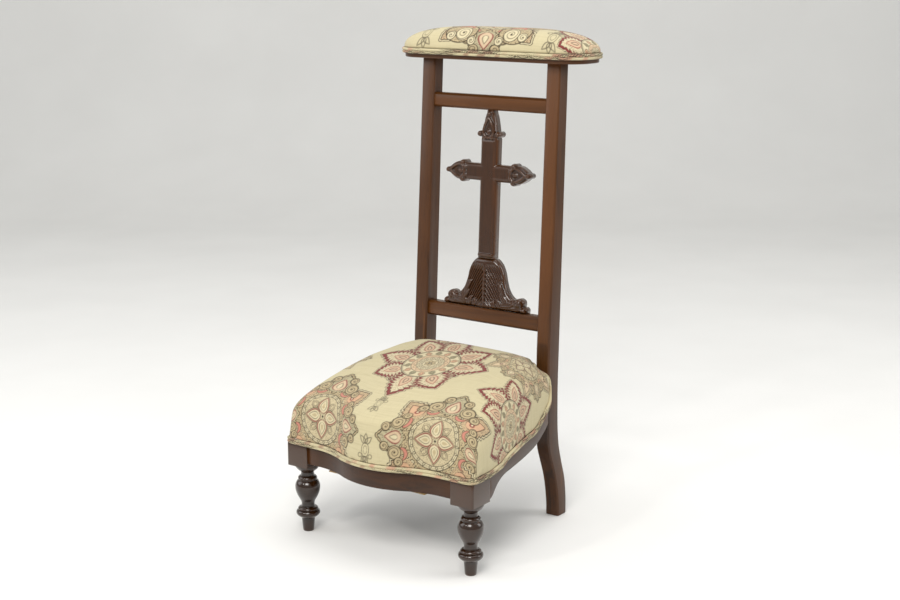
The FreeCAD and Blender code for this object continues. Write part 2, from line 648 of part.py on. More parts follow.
# ------------------------------------------------------------ front legs
def build_leg(side, label):
    body = new_body(label)
    top = q("leg_block_bottom")
    sk = sketch_on(body, "XZ_Plane", label + "_turning")
    add_profile(sk, [
        ("L", [(0.00, 0), (9.27, 0)]),
        ("L", [(9.27, 0), (9.99, 0.9)]),
        ("L", [(9.99, 0.9), (12.36, 25.2)]),
        ("L", [(12.36, 25.2), (13.80, 26.0)]),
        ("S", [(13.80, 26.0), (18.75, 29.6), (21.42, 33.0), (21.84, 36.2), (20.50, 39.0), (17.51, 40.6)]),
        ("S", [(17.51, 40.6), (18.54, 42.3), (17.61, 44.6), (15.04, 46.3), (12.57, 47.0)]),
        ("S", [(12.57, 47.0), (11.85, 51.0), (12.46, 55.5), (15.04, 61.0), (18.13, 66.6), (20.50, 72.0),
               (22.14, 77.5), (22.87, 83.0), (22.45, 88.5), (20.91, 92.9), (17.92, 96.9)]),
        ("L", [(17.92, 96.9), (16.48, 97.6)]),
        ("L", [(16.48, 97.6), (16.48, 98.7)]),
        ("S", [(16.48, 98.7), (17.51, 100.8), (16.69, 103.2), (14.21, 105.2), (12.46, 105.9)]),
        ("S", [(12.46, 105.9), (11.95, 109.4), (12.26, 112.6), (13.60, 114.4)]),
        ("S", [(13.60, 114.4), (16.79, 117.0), (20.19, 120.4), (22.14, 123.7), (23.18, 126.4),
               (22.80, top)]),
        ("L", [(22.80, top), (0.00, top)]),
        ("L", [(0.00, top), (0.00, 0)]),
    ])
    rev = body.newObject("PartDesign::Revolution", label + "_turned")
    rev.Profile = sk
    rev.ReferenceAxis = (sk, ["V_Axis"])
    rev.Angle = 360.0
    doc.recompute()
    h = q("leg_block_half")
    r = q("leg_corner")
    e = 1.0
    sk = sketch_on(body, "XY_Plane", label + "_block_sketch", top, "sizes.leg_block_bottom")
    s = side

    def c(x, y):
        return (s * x, y)
    k = e * (1 - math.sqrt(0.5))
    kr = r * (1 - math.sqrt(0.5))
    f = -h - q("leg_block_front")
    add_profile(sk, [
        ("L", [c(-h + e, f), c(h - r, f)]),
        ("A", [c(h - r, f), c(h - kr, f + kr), c(h, f + r)]),
        ("L", [c(h, f + r), c(h, h - e)]),
        ("A", [c(h, h - e), c(h - k, h - k), c(h - e, h)]),
        ("L", [c(h - e, h), c(-h + e, h)]),
        ("A", [c(-h + e, h), c(-h + k, h - k), c(-h, h - e)]),
        ("L", [c(-h, h - e), c(-h, f + e)]),
        ("A", [c(-h, f + e), c(-h + k, f + k), c(-h + e, f)]),
    ])
    pad(body, sk, label + "_block", q("seat_rail_top") - top,
        "sizes.seat_rail_top - sizes.leg_block_bottom")
    doc.recompute()
    # dowel holes: inner face for the front rail, rear face for the side rail
    drill(body, "YZ_Plane", label + "_front_rail_holes", -side * h,
          [(-11.0, 145.0), (-11.0, 161.0)],
          q("dowel_dia") / 2.0 + q("dowel_room"), q("dowel_half"))
    drill(body, "XZ_Plane", label + "_side_rail_holes", h,
          [(side * 8.0, 142.0), (side * 8.0, 160.0)],
          q("dowel_dia") / 2.0 + q("dowel_room"), q("dowel_half"), sign=-1)
    place_shifted(body, side * q("leg_x"), q("leg_y"), 0.0)
    body.setExpression("Placement.Base.x", ("" if side > 0 else "-") + "sizes.leg_x")
    body.setExpression("Placement.Base.y", "sizes.leg_y - sizes.shift_y")
    return body


build_leg(-1, "front_leg_left")
build_leg(1, "front_leg_right")


# ------------------------------------------------------------ seat rails
LEG_IN = q("leg_x") - q("leg_block_half")          # inner face of a block
LEG_BACK = q("leg_y") + q("leg_block_half")        # rear face of a block


def front_rail_line(x):
    """Front face of the serpentine rail."""
    run, bulge, y0 = q("front_rail_run"), q("front_rail_bulge"), q("front_rail_y")
    theta = 2 * math.atan(bulge / run)
    r = run / (2 * math.sin(theta))
    x = abs(x)
    if x >= run:
        return y0
    if x >= run / 2.0:
        return y0 - r + math.sqrt(r * r - (run - x) ** 2)
    return y0 - bulge + r - math.sqrt(r * r - x * x)


def build_front_rail():
    body = new_body("front_rail")
    run, bulge, y0, t = q("front_rail_run"), q("front_rail_bulge"), q("front_rail_y"), q("rail_thick")
    theta = 2 * math.atan(bulge / run)
    r = run / (2 * math.sin(theta))

    def row(off):
        """Centre arc and two end arcs, off behind the front face."""
        rc, re = r - off, r + off
        cy, ey = y0 - bulge + r, y0 - r
        sx, sy = math.sin(theta), math.cos(theta)
        a = (rc * sx, cy - rc * sy)
        b = (run, ey + re)
        hx, hy = math.sin(theta / 2), math.cos(theta / 2)
        m = (run - re * hx, ey + re * hy)
        return cy - rc, a, m, b
    fc, fa, fm, fb = row(0.0)
    bc, ba, bm, bb = row(t)
    x1 = LEG_IN
    sk = sketch_on(body, "XY_Plane", "front_rail_plan", q("front_rail_bottom"),
                   "sizes.front_rail_bottom")

    def n(p):
        return (-p[0], p[1])
    add_profile(sk, [
        ("L", [(-x1, y0), n(fb)]), ("A", [n(fb), n(fm), n(fa)]), ("A", [n(fa), (0, fc), fa]),
        ("A", [fa, fm, fb]), ("L", [fb, (x1, y0)]),
        ("L", [(x1, y0), (x1, y0 + t)]),
        ("L", [(x1, y0 + t), bb]), ("A", [bb, bm, ba]), ("A", [ba, (0, bc), n(ba)]),
        ("A", [n(ba), n(bm), n(bb)]), ("L", [n(bb), (-x1, y0 + t)]),
        ("L", [(-x1, y0 + t), (-x1, y0)]),
    ])
    pad(body, sk, "front_rail_pad", q("seat_rail_top") - q("front_rail_bottom"),
        "sizes.seat_rail_top - sizes.front_rail_bottom")
    doc.recompute()
    dress(body, "Fillet", "front_rail_edge", 1.5,
          lambda e: abs(mid(e).z - q("front_rail_bottom")) < 1e-3
          and abs(mid(e).y - front_rail_line(mid(e).x)) < 0.3 and e.Length > 15)
    for s, tag in ((-1, "left"), (1, "right")):
        drill(body, "YZ_Plane", "front_rail_holes_" + tag, s * x1,
              [(q("leg_y") - 11.0, 145.0), (q("leg_y") - 11.0, 161.0)],
              q("dowel_dia") / 2.0 + q("dowel_room"), q("dowel_half"))
    place_shifted(body)
    return body


SIDE_K = (q("side_rear_x") - q("side_front_x")) / (q("side_rear_y") - LEG_BACK)


def side_face(y):
    """Outer face of the right side rail."""
    return q("side_front_x") + SIDE_K * (y - LEG_BACK)


SIDE_TOP = [(LEG_BACK, 170.0), (-111.6, 171.5), (-83.0, 173.5), (-54.0, 178.0), (-31.7, 182.6),
            (8.8, 188.4), (50.0, 191.6), (71.0, 199.0), (99.0, 215.5), (112.0, 223.0),
            (post_front(232.0) - 0.15, 232.0)]
SIDE_BOTTOM = [(LEG_BACK, 128.5), (-128.7, 129.6), (-121.5, 131.6), (-116.0, 135.3),
               (-109.5, 140.4), (-100.8, 146.2), (-90.0, 150.9), (-75.8, 154.7), (-53.6, 157.4),
               (-25.8, 158.4), (0.0, 159.4), (27.5, 161.0), (54.8, 163.6), (73.7, 167.8),
               (93.6, 175.0), (110.5, 182.2), (post_front(192.0) - 0.15, 192.0)]


def build_side_rail(side, label):
    body = new_body(label)
    t = q("rail_thick") / math.cos(math.atan(SIDE_K))
    sk = sketch_on(body, "YZ_Plane", label + "_profile", side * 120.0)
    add_profile(sk, [
        ("S", SIDE_BOTTOM),
        ("L", [SIDE_BOTTOM[-1], SIDE_TOP[-1]]),
        ("S", SIDE_TOP[::-1]),
        ("L", [SIDE_TOP[0], SIDE_BOTTOM[0]]),
    ])
    pad(body, sk, label + "_pad", 95.0, reverse=(side < 0))
    doc.recompute()
    sk = sketch_on(body, "XY_Plane", label + "_waste")
    y0, y1 = LEG_BACK - 20.0, 160.0
    outer = [(side * side_face(y0), y0), (side * side_face(y1), y1), (side * 260, y1), (side * 260, y0)]
    inner = [(side * (side_face(y0) - t), y0), (side * (side_face(y1) - t), y1),
             (side * 100, y1), (side * 100, y0)]
    add_profile(sk, polygon(outer))
    add_profile(sk, polygon(inner))
    pocket(body, sk, label + "_cut", 600.0, midplane=True)
    if not any(abs(f.CenterOfMass.z) > 0 for f in body.Shape.Faces):
        raise RuntimeError("side rail lost")
    dress(body, "Fillet", label + "_edge", 1.5,
          lambda e: e.Length > 120 and abs(abs(mid(e).x) - side_face(mid(e).y)) < 0.3
          and mid(e).z < 170)
    drill(body, "XZ_Plane", label + "_front_holes", LEG_BACK,
          [(side * (q("leg_x") + 8.0), 142.0), (side * (q("leg_x") + 8.0), 160.0)],
          q("dowel_dia") / 2.0 + q("dowel_room"), q("dowel_half"), sign=-1)
    xr = q("post_x") - 1.2 - 211.0 * math.tan(math.radians(q("post_lean")))
    drill(body, "XZ_Plane", label + "_rear_holes", post_front(211),
          [(side * xr, 203.0), (side * xr, 219.0)],
          q("dowel_dia") / 2.0 + q("dowel_room"), q("dowel_half"), sign=-1)
    place_shifted(body)
    return body


def build_rear_rail():
    body = new_body("rear_seat_rail")
    s0, s1 = up(q("rear_rail_bottom")), up(q("rear_rail_top"))
    zc = (q("rear_rail_bottom") + q("rear_rail_top")) / 2.0
    # the posts curve back below the seat, so the rail follows their straight rake
    sk = sketch_on(body, "XZ_Plane", "rear_rail_face")
    sk.AttachmentOffset = Placement(Vector(0, (s0 + s1) / 2.0, -q("rear_rail_setback")), Rotation())
    sk.setExpression("AttachmentOffset.Base.z", "-sizes.rear_rail_setback")
    centred_rect(sk, None, "(sizes.rear_rail_top - sizes.rear_rail_bottom) / %r" % COSR,
                 2 * post_inner(q("rear_rail_top")) - 0.1, s1 - s0)
    pad(body, sk, "rear_rail_pad", q("rail_thick"), "sizes.rail_thick", reverse=True)
    doc.recompute()
    dress(body, "Fillet", "rear_rail_round", 3.0,
          lambda e: e.Length > 200 and mid(e).z > s1 - 0.01)
    for s, tag in ((-1, "left"), (1, "right")):
        drill(body, "YZ_Plane", "rear_rail_holes_" + tag, s * post_inner(zc),
              [(q("rear_rail_setback") + q("rail_thick") / 2.0,
                up(z) + (q("rear_rail_setback") + q("rail_thick") / 2.0) * q("rake_run"))
               for z in (zc - 30.2, zc + 30)],
              q("dowel_dia") / 2.0 + q("dowel_room"), q("dowel_half"))
    place_raked(body)
    return body


build_front_rail()
build_side_rail(-1, "side_rail_left")
build_side_rail(1, "side_rail_right")
build_rear_rail()


# ------------------------------------------------------------ dowels and blocks
def dowel(centre, axis):
    half, r = q("dowel_half") - 0.6, q("dowel_dia") / 2.0
    axis = Vector(axis)
    axis.normalize()
    body = Part.makeCylinder(r, 2 * half, Vector(centre) - axis * half, axis)
    rims = [e for e in body.Edges if e.Curve.TypeId == "Part::GeomCircle"]
    return body.makeChamfer(0.7, rims)


fixed("front_rail_dowels", Part.makeCompound(
    [dowel((s * LEG_IN, q("leg_y") - 11.0, z), (1, 0, 0)) for s in (-1, 1) for z in (145.0, 161.0)]))
XR = q("post_x") - 1.2 - 211.0 * math.tan(math.radians(q("post_lean")))
fixed("side_rail_dowels", Part.makeCompound(
    [dowel((s * (q("leg_x") + 8.0), LEG_BACK, z), (0, 1, 0)) for s in (-1, 1) for z in (142.0, 160.0)]
    + [dowel((s * XR, post_front(211), z), (0, 1, 0)) for s in (-1, 1) for z in (203.0, 219.0)]))
ZR = (q("rear_rail_bottom") + q("rear_rail_top")) / 2.0
fixed("rear_rail_dowels", Part.makeCompound(
    [dowel((s * post_inner(ZR), rake(z) + q("rear_rail_setback") + q("rail_thick") / 2.0, z),
           (1, 0, 0)) for s in (-1, 1) for z in (ZR - 30.2, ZR + 30)]))


def side_inner(y):
    return side_face(y) - q("rail_thick") / math.cos(math.atan(SIDE_K))


def build_block(label, side, points, low, thick, screws):
    """Glued corner block with two clearance holes for its screws."""
    body = new_body(label)
    sk = sketch_on(body, "XY_Plane", label + "_plan", low)
    add_profile(sk, polygon([(side * x, y) for x, y in points]))
    pad(body, sk, label + "_pad", thick)
    doc.recompute()
    place_shifted(body)
    return body


g = 0.15
FRONT_BLOCK = [(108.0, front_rail_line(108.0) + q("rail_thick") + 2.4),
               (125.0, front_rail_line(125.0) + q("rail_thick") + 2.0),
               (LEG_IN - g, q("front_rail_y") + q("rail_thick") + 1.3),
               (LEG_IN - g, LEG_BACK + g), (side_inner(LEG_BACK + g) - g, LEG_BACK + g),
               (side_inner(-92.0) - g, -92.0)]
REAR_BLOCK = [(80.0, 127.6), (125.3, 127.6), (125.3, 125.9), (side_inner(125.9) - g, 125.9),
              (side_inner(92.0) - g, 92.0)]
for side, tag in ((-1, "left"), (1, "right")):
    build_block("corner_block_front_" + tag, side, FRONT_BLOCK, 158.0, 11.0, None)
    build_block("corner_block_rear_" + tag, side, REAR_BLOCK, 198.0, 17.0, None)


def wood_screw(head, direction, length):
    """Countersunk wood screw: head, shank, tapering end; head centre at the origin."""
    r = q("screw_dia") / 2.0
    pts = [(0, 0), (2 * r, 0), (2 * r, 0.5), (r, 2.6), (r, length * 0.72), (0.3, length), (0, length)]
    wire = Part.makePolygon([Vector(a, 0, b) for a, b in pts] + [Vector(0, 0, 0)])
    solid = Part.Face(wire).revolve(Vector(0, 0, 0), Vector(0, 0, 1), 360)
    slot = Part.makeBox(5 * r, 0.9, 0.9, Vector(-2.5 * r, -0.45, 0))
    solid = solid.cut(slot)
    rot = Rotation(Vector(0, 0, 1), Vector(direction))
    solid.Placement = Placement(Vector(head), rot)
    return solid


TOP = q("post_height")
fixed("armrest_screws", Part.makeCompound(
    [wood_screw((s * (q("post_x") - TOP * math.tan(math.radians(q("post_lean")))),
                 post_front(TOP) + d, TOP + q("arm_thick")), (0, 0, -1), 48.0)
     for s in (-1, 1) for d in (8.0, 18.0)]))

# ------------------------------------------------------------ armrest board
board = new_body("armrest_board")
A, B, R = q("arm_half_length"), q("arm_half_depth"), q("arm_corner")


def round_rect(a, b, r):
    k = r * (1 - math.sqrt(0.5))
    return [
        ("L", [(-a + r, -b), (a - r, -b)]), ("A", [(a - r, -b), (a - k, -b + k), (a, -b + r)]),
        ("L", [(a, -b + r), (a, b - r)]), ("A", [(a, b - r), (a - k, b - k), (a - r, b)]),
        ("L", [(a - r, b), (-a + r, b)]), ("A", [(-a + r, b), (-a + k, b - k), (-a, b - r)]),
        ("L", [(-a, b - r), (-a, -b + r)]), ("A", [(-a, -b + r), (-a + k, -b + k), (-a + r, -b)])]


sk = sketch_on(board, "XY_Plane", "board_plan", q("post_height"), "sizes.post_height")
add_profile(sk, round_rect(A, B, R))
pad(board, sk, "board_pad", q("arm_thick"), "sizes.arm_thick")
doc.recompute()
dress(board, "Fillet", "board_round", 2.2, lambda e: abs(e.CenterOfMass.z - q("post_height")) < 1e-3)
for s, tag in ((-1, "left"), (1, "right")):
    drill(board, "XY_Plane", "board_screw_holes_" + tag, q("post_height"),
          [(s * (q("post_x") - TOP * math.tan(math.radians(q("post_lean")))),
            post_front(TOP) + d - q("arm_y")) for d in (8.0, 18.0)],
          q("screw_dia") / 2.0 + 0.1, 40.0)
    sk = sketch_on(board, "XY_Plane", "countersink_sketch_" + tag, q("post_height") + q("arm_thick"))
    circles(sk, [(s * (q("post_x") - TOP * math.tan(math.radians(q("post_lean")))),
                  post_front(TOP) + d - q("arm_y")) for d in (8.0, 18.0)], q("screw_dia") + 0.2)
    pocket(board, sk, "countersink_" + tag, 2.7)
place_shifted(board, 0, q("arm_y"), 0)


# ------------------------------------------------------------ soft parts
# Seat crown: half width, welt height and crown height along the seat.
def half_width(y):
    return smooth([-230, -170, -140, -100, -70, -30, 10, 50, 97, 118, 126],
                  [204.5, 204.5, 203, 196.5, 191.5, 184.5, 177.5, 171.5, 166, 163, 158.5], y)


def edge_height(y):
    return smooth([-230, -90, -65, -30, 9, 50, 70, 97, 112, 118, 122, 126, 133.5],
                  [181, 183, 190, 194.5, 199, 202.5, 211, 229, 240, 252, 268, 289, 299.5], y)


CROWN_B = [0, 0.03, 0.08, 0.16, 0.3, 0.5, 0.7, 0.86, 0.95, 1.0]
CROWN_Z = [181.0, 250.0, 263.0, 274.0, 290.0, 305.0, 316.0, 323.0, 318.0, 300.0]


def seat_front(x):
    return front_rail_line(x) - 4.0


def seat_back(x):
    """Back edge: level with the posts outside, a little further back between them."""
    return smooth([0, 112, 129, 210], [133.5, 133.5, 121.0, 121.0], abs(x))


def seat_point(a, b, inset=0.0, drop=0.0, crown=0.0):
    """Outer face of the cover; a from -1 to 1 across, b from 0 to 1 back."""
    y0 = -188.0 + b * (126.0 + 188.0)
    w = half_width(y0) - inset
    x = a * w
    yf = seat_front(min(abs(x), 206.0)) + inset
    corner = max(0.0, abs(x) + inset - 188.0)
    yf += 0.022 * corner * corner
    yb = seat_back(x) - min(inset, 7.0)
    y = yf + b * (yb - yf)
    ze = edge_height(y + min(inset, 7.0) * b)
    m = 8.2 + (2.2 - 8.2) * min(1.0, max(0.0, (b - 0.6) / 0.4))
    gg = max(0.0, 1.0 - abs(a) ** m) ** (1 / 4.6)
    if b <= 0.0:
        return Vector(x, y, ze - drop)
    zc = max(smooth(CROWN_B, CROWN_Z, b) - crown * (1 - b ** 12), ze)
    if b >= 1.0:
        return Vector(x, y, ze - drop + (zc - ze) * gg)
    return Vector(x, y, ze - drop + (zc - ze + drop) * gg)


def even(count, curve):
    """Parameters that divide a curve into equal lengths."""
    fine = [curve(i / 600.0) for i in range(601)]
    run = [0.0]
    for p, r in zip(fine, fine[1:]):
        run.append(run[-1] + (r - p).Length)
    out, k = [], 0
    for i in range(count):
        goal = run[-1] * i / (count - 1.0)
        while k < 599 and run[k + 1] < goal:
            k += 1
        t = (goal - run[k]) / max(run[k + 1] - run[k], 1e-9)
        out.append(min(1.0, (k + t) / 600.0))
    return out


def ease(t):
    """Fine steps near 1, where the section is steep."""
    return math.copysign(1 - (1 - abs(t)) ** 3, t)


HALF_A = [ease(t) for t in even(26, lambda t: seat_point(ease(t), 0.3))]
AS = [-v for v in HALF_A[:0:-1]] + HALF_A


def rise(t):
    return t ** 2.2


BS = [rise(t) for t in even(38, lambda t: seat_point(0.0, rise(t)))]


def seat_grid(inset, drop, crown):
    return [[seat_point(a, b, inset, drop, crown) for b in BS] for a in AS]


ct = q("cover_thick")
cover = patch_solid(seat_grid(0.0, 0.0, 0.0), seat_grid(ct, 0.0, ct))
fixed("seat_cover", cover)
DECK_IN = 25.0


def deck_point(a, b, lower):
    """Gently domed deck under the stuffing, its rim on the tops of the rails."""
    p = seat_point(a, b, DECK_IN, 0.0, 0.0)
    rim = edge_height(p.y + 7.0 * b) - 9.1
    t = min(1.0, b / 0.14)
    rise_b = t * t * (3 - 2 * t)
    top = max(smooth(CROWN_B, CROWN_Z, b) - 44.0 * (1 - b ** 12), rim) if b < 1 else rim
    return Vector(p.x, p.y, rim + (top - rim) * (1 - a ** 4) * rise_b - lower)


def deck_grid(lower):
    return [[deck_point(a, b, lower) for b in BS] for a in AS]


fixed("seat_stuffing", patch_solid(seat_grid(ct + 0.3, 10.0, ct + 0.3), deck_grid(0.0)))
fixed("burlap_deck", patch_solid(deck_grid(0.6), deck_grid(1.8)))


# double welt round the seat
def seat_rim():
    """Points round the lower edge of the cover, from the back middle to the front middle."""
    back = [seat_point(t / 40.0, 1.0) for t in range(40)]
    side = [seat_point(1.0, b) for b in [1 - i / 60.0 for i in range(60)]]
    front = [seat_point(1.0 - i / 40.0, 0.0) for i in range(41)]
    return back + side + front


def loop_points(offset_out, offset_down, step=7.0):
    half = seat_rim()
    full = half + [Vector(-p.x, p.y, p.z) for p in half[-2:0:-1]]
    keep = [full[0]]
    for p in full[1:]:
        if (p - keep[-1]).Length > step:
            keep.append(p)
    if (keep[0] - keep[-1]).Length < step * 0.7:
        keep.pop()
    n = len(keep)
    out = []
    for i, p in enumerate(keep):
        t = keep[(i + 1) % n] - keep[i - 1]
        nrm = Vector(t.y, -t.x, 0)
        nrm.normalize()
        if nrm.dot(Vector(p.x, p.y + 20, 0)) < 0:
            nrm = nrm * -1
        out.append(p + nrm * offset_out + Vector(0, 0, -offset_down))
    return out


wd, wt = q("welt_deep"), q("welt_tall")
fixed("seat_welt", ring_solid([loop_points(-1.2, 0.4), loop_points(wd - 1.2, 0.4),
                               loop_points(wd - 1.2, 0.4 + wt), loop_points(-1.2, 0.4 + wt)]))


# armrest pad, cover and double welt
def arm_section(a, b, r, z):
    pts = round_rect(a, b, r)
    edges = []
    for kind, p in pts:
        v = [Vector(x, y + q("arm_y"), z) for x, y in p]
        edges.append(Part.makeLine(v[0], v[1]) if kind == "L" else Part.Arc(v[0], v[1], v[2]).toShape())
    return Part.Wire(edges)


def arm_stack(grow, z0, top):
    """Crowned pad: plan outlines that shrink towards the top."""
    wires = []
    for t, k in ((0.0, 0.0), (0.30, 1.5), (0.55, 5.0), (0.75, 11.0), (0.88, 19.0), (0.96, 29.0), (1.0, 41.0)):
        z = z0 + (top - z0) * t
        kx = k * (1.0 + 0.9 * t)
        wires.append(arm_section(A + grow - kx, B + grow - k, max(R + grow - k, 6.0), z))
    return Part.makeLoft(wires, True, False)


ARM_TOP = q("post_height") + q("arm_thick")
pad_low = ARM_TOP + 0.2
outer = arm_stack(3.2, pad_low, q("arm_pad_top"))
inner = arm_stack(3.2 - ct, pad_low - 0.4, q("arm_pad_top") - ct)
fixed("armrest_stuffing", arm_stack(3.2 - ct - 0.3, pad_low, q("arm_pad_top") - ct - 0.3))
fixed("armrest_cover", outer.cut(inner))
w0 = ARM_TOP - wt
welt_out = Part.Face(arm_section(A + 6.2, B + 6.2, R + 6.2, w0)).extrude(Vector(0, 0, wt))
welt_in = Part.Face(arm_section(A + 0.2, B + 0.2, R + 0.2, w0 - 1)).extrude(Vector(0, 0, wt + 2))
fixed("armrest_welt", welt_out.cut(welt_in))


# ------------------------------------------------------------ under the seat
def base(y):
    """Underside of the seat rails, which the webbing and dust cover follow."""
    return smooth([-230, -119, -111, -100.8, -90, -75.8, -53.6, -25.8, 0, 27.5, 54.8, 73.7, 93.6,
                   110.5, 122.0, 128, 150],
                  [136.5, 136.5, 139.0, 146.0, 150.8, 154.6, 157.3, 158.3, 159.3, 160.9, 163.5,
                   167.7, 174.9, 182.1, 189.8, 192.4, 192.4], y)


def band(x0, x1, ys, drop, thick):
    upper_rows, lower_rows = [], []
    for i in range(5):
        x = x0 + (x1 - x0) * i / 4.0
        upper_rows.append([Vector(x, y, base(y) - drop) for y in ys])
        lower_rows.append([Vector(x, y, base(y) - drop - thick) for y in ys])
    return patch_solid(upper_rows, lower_rows)


WT = q("web_thick")
WW = q("web_width")
lengthwise = []
for xc in (-84.0, -28.0, 28.0, 84.0):
    y_start = front_rail_line(xc - math.copysign(22.0, xc)) + 14.0
    n = 34
    ys = [y_start + (140.0 - y_start) * i / (n - 1.0) for i in range(n)]
    lengthwise.append(band(xc - WW / 2, xc + WW / 2, ys, 0.3, WT))
fixed("webbing_lengthwise", Part.makeCompound(lengthwise))
crosswise = []
for yc in (-84.0, -30.0, 24.0, 78.0):
    half = WW / 2
    x = side_face(yc + half) - 7.0
    n = 10
    ys = [yc - half + 2 * half * i / (n - 1.0) for i in range(n)]
    crosswise.append(band(-x, x, ys, 2.6, WT))
fixed("webbing_crosswise", Part.makeCompound(crosswise))

def dust(y):
    """Top of the dust cover: close under the front rail, lower where strips cross."""
    return base(y) - smooth([-230, -122, -112, 200], [2.2, 2.2, 4.5, 4.5], y)


line = []
for i in range(37):
    x = -135.0 + 7.5 * i
    line.append(Vector(x, front_rail_line(x) + 15.0, 0))
right = [(157.6, q("front_rail_y") + 15.0), (157.6, LEG_BACK + 0.4),
         (side_inner(LEG_BACK) - 1.0, LEG_BACK + 0.4), (side_inner(-109.0) - 1.0, -109.0),
         (side_face(-109.0) - 6.0, -109.0), (side_face(122.6) - 6.0, 122.6), (125.1, 122.6),
         (125.1, 138.0)]
plan = line + [Vector(x, y, 0) for x, y in right] + [Vector(-x, y, 0) for x, y in right[::-1]]
prism = Part.Face(Part.makePolygon(plan + [plan[0]])).extrude(Vector(0, 0, 300))
ys = [-212.0 + (140.0 + 212.0) * i / 49.0 for i in range(50)]
sheet_top = Part.BSplineCurve()
sheet_top.interpolate([Vector(-220, y, dust(y)) for y in ys])
low_edge = Part.BSplineCurve()
low_edge.interpolate([Vector(-220, y, dust(y) - 0.7) for y in ys])
side_wire = Part.Wire([sheet_top.toShape(),
                       Part.makeLine(sheet_top.EndPoint, low_edge.EndPoint),
                       low_edge.toShape(),
                       Part.makeLine(low_edge.StartPoint, sheet_top.StartPoint)])
cloth = Part.Face(side_wire).extrude(Vector(440, 0, 0))
fixed("dust_cover", cloth.common(prism).Solids[0])


def tack(x, y):
    """Shallow dome, its flat face up against the cloth."""
    r = q("tack_head") / 2.0
    cap = Part.makeSphere(5.0, Vector(0, 0, math.sqrt(25.0 - r * r))).common(
        Part.makeBox(20, 20, 5.0, Vector(-10, -10, -5.0)))
    slope = math.atan((base(y + 2) - base(y - 2)) / 4.0)
    cap.Placement = Placement(Vector(x, y, dust(y) - 0.85), Rotation(Vector(1, 0, 0), math.degrees(slope)))
    return cap


TACKS = []
for i in range(9):
    y = -100.0 + 26.5 * i
    for s in (-1, 1):
        TACKS.append((s * (side_face(y) - 12.0), y))
for i in range(9):
    x = -130.0 + 32.5 * i
    TACKS.append((x, front_rail_line(x) + 19.0))
for i in range(7):
    TACKS.append((-108.0 + 36.0 * i, 133.0))
fixed("dust_cover_tacks", Part.makeCompound([tack(x, y) for x, y in TACKS]))


# ------------------------------------------------------------ seat springs
def spring(x, y):
    low = max(base(y - 27), base(y), base(y + 27)) + 0.2 + q("spring_wire") / 2.0
    high = 1000.0
    for dx, dy in ((0, 0), (29, 0), (-29, 0), (0, 29), (0, -29), (20, 20), (-20, 20), (20, -20), (-20, -20)):
        xx, yy = x + dx, y + dy
        b = (yy - seat_front(xx) - DECK_IN) / (seat_back(xx) - 7.0 - seat_front(xx) - DECK_IN)
        a = xx / (half_width(-188.0 + b * 314.0) - DECK_IN)
        high = min(high, deck_point(a, b, 1.5).z)
    high -= 0.6 + q("spring_wire") / 2.0
    r, turns, sides, steps = 27.0, 4, 8, 80
    w = q("spring_wire") / 2.0
    rails, first, last = [], [], []
    for k in range(sides):
        t = 2 * math.pi * k / sides
        pts = []
        for i in range(steps + 1):
            u = 2 * math.pi * turns * i / steps
            rr = r + w * math.cos(t)
            pts.append(Vector(x + rr * math.cos(u), y + rr * math.sin(u),
                              low + (high - low) * i / steps + w * math.sin(t)))
        c = Part.BSplineCurve()
        c.interpolate(pts)
        rails.append(c.toShape())
        first.append(pts[0])
        last.append(pts[-1])
    faces = [Part.makeRuledSurface(rails[i], rails[(i + 1) % sides]) for i in range(sides)]
    faces.append(Part.Face(Part.makePolygon(first + [first[0]])))
    faces.append(Part.Face(Part.makePolygon(last + [last[0]])))
    shell = Part.Shell(faces)
    shell.sewShape()
    coil = Part.Solid(shell)
    if coil.Volume < 0:
        coil.reverse()
    return coil


fixed("seat_springs", Part.makeCompound(
    [spring(x, y) for x, y in ((-84.0, -94.0), (84.0, -94.0), (0.0, -20.0), (-84.0, 46.0), (84.0, 46.0))]))

# ------------------------------------------------------------ checks and files
doc.recompute()
bad = [o.Label for o in doc.Objects if "Invalid" in o.State or "Error" in o.State]
if bad:
    raise RuntimeError("failed objects: %s" % bad)
labels = set()
for obj in parts:
    shape = obj.Shape
    if shape.isNull() or not shape.isValid() or not shape.Solids or shape.Volume <= 0:
        raise RuntimeError("bad shape in %s (valid %s, solids %d)"
                           % (obj.Label, shape.isValid(), len(shape.Solids)))
    if obj.Label in labels:
        raise RuntimeError("two parts called " + obj.Label)
    labels.add(obj.Label)

os.makedirs("parts", exist_ok=True)
box = FreeCAD.BoundBox()
for obj in parts:
    obj.Shape.exportStep("parts/%s.step" % obj.Label)
    box.add(obj.Shape.BoundBox)
    bb = obj.Shape.BoundBox
    print("%-26s solids %2d  volume %10.1f mm3  " % (obj.Label, len(obj.Shape.Solids), obj.Shape.Volume)
          + " ".join("%7.1f" % v for v in (bb.XMin, bb.XMax, bb.YMin, bb.YMax, bb.ZMin, bb.ZMax)))
print("box", [round(v, 2) for v in (box.XMin, box.XMax, box.YMin, box.YMax, box.ZMin, box.ZMax)])
print("%d parts" % len(parts))
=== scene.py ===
import math
import bpy
import bmesh
import numpy as np
from mathutils import Vector, Matrix


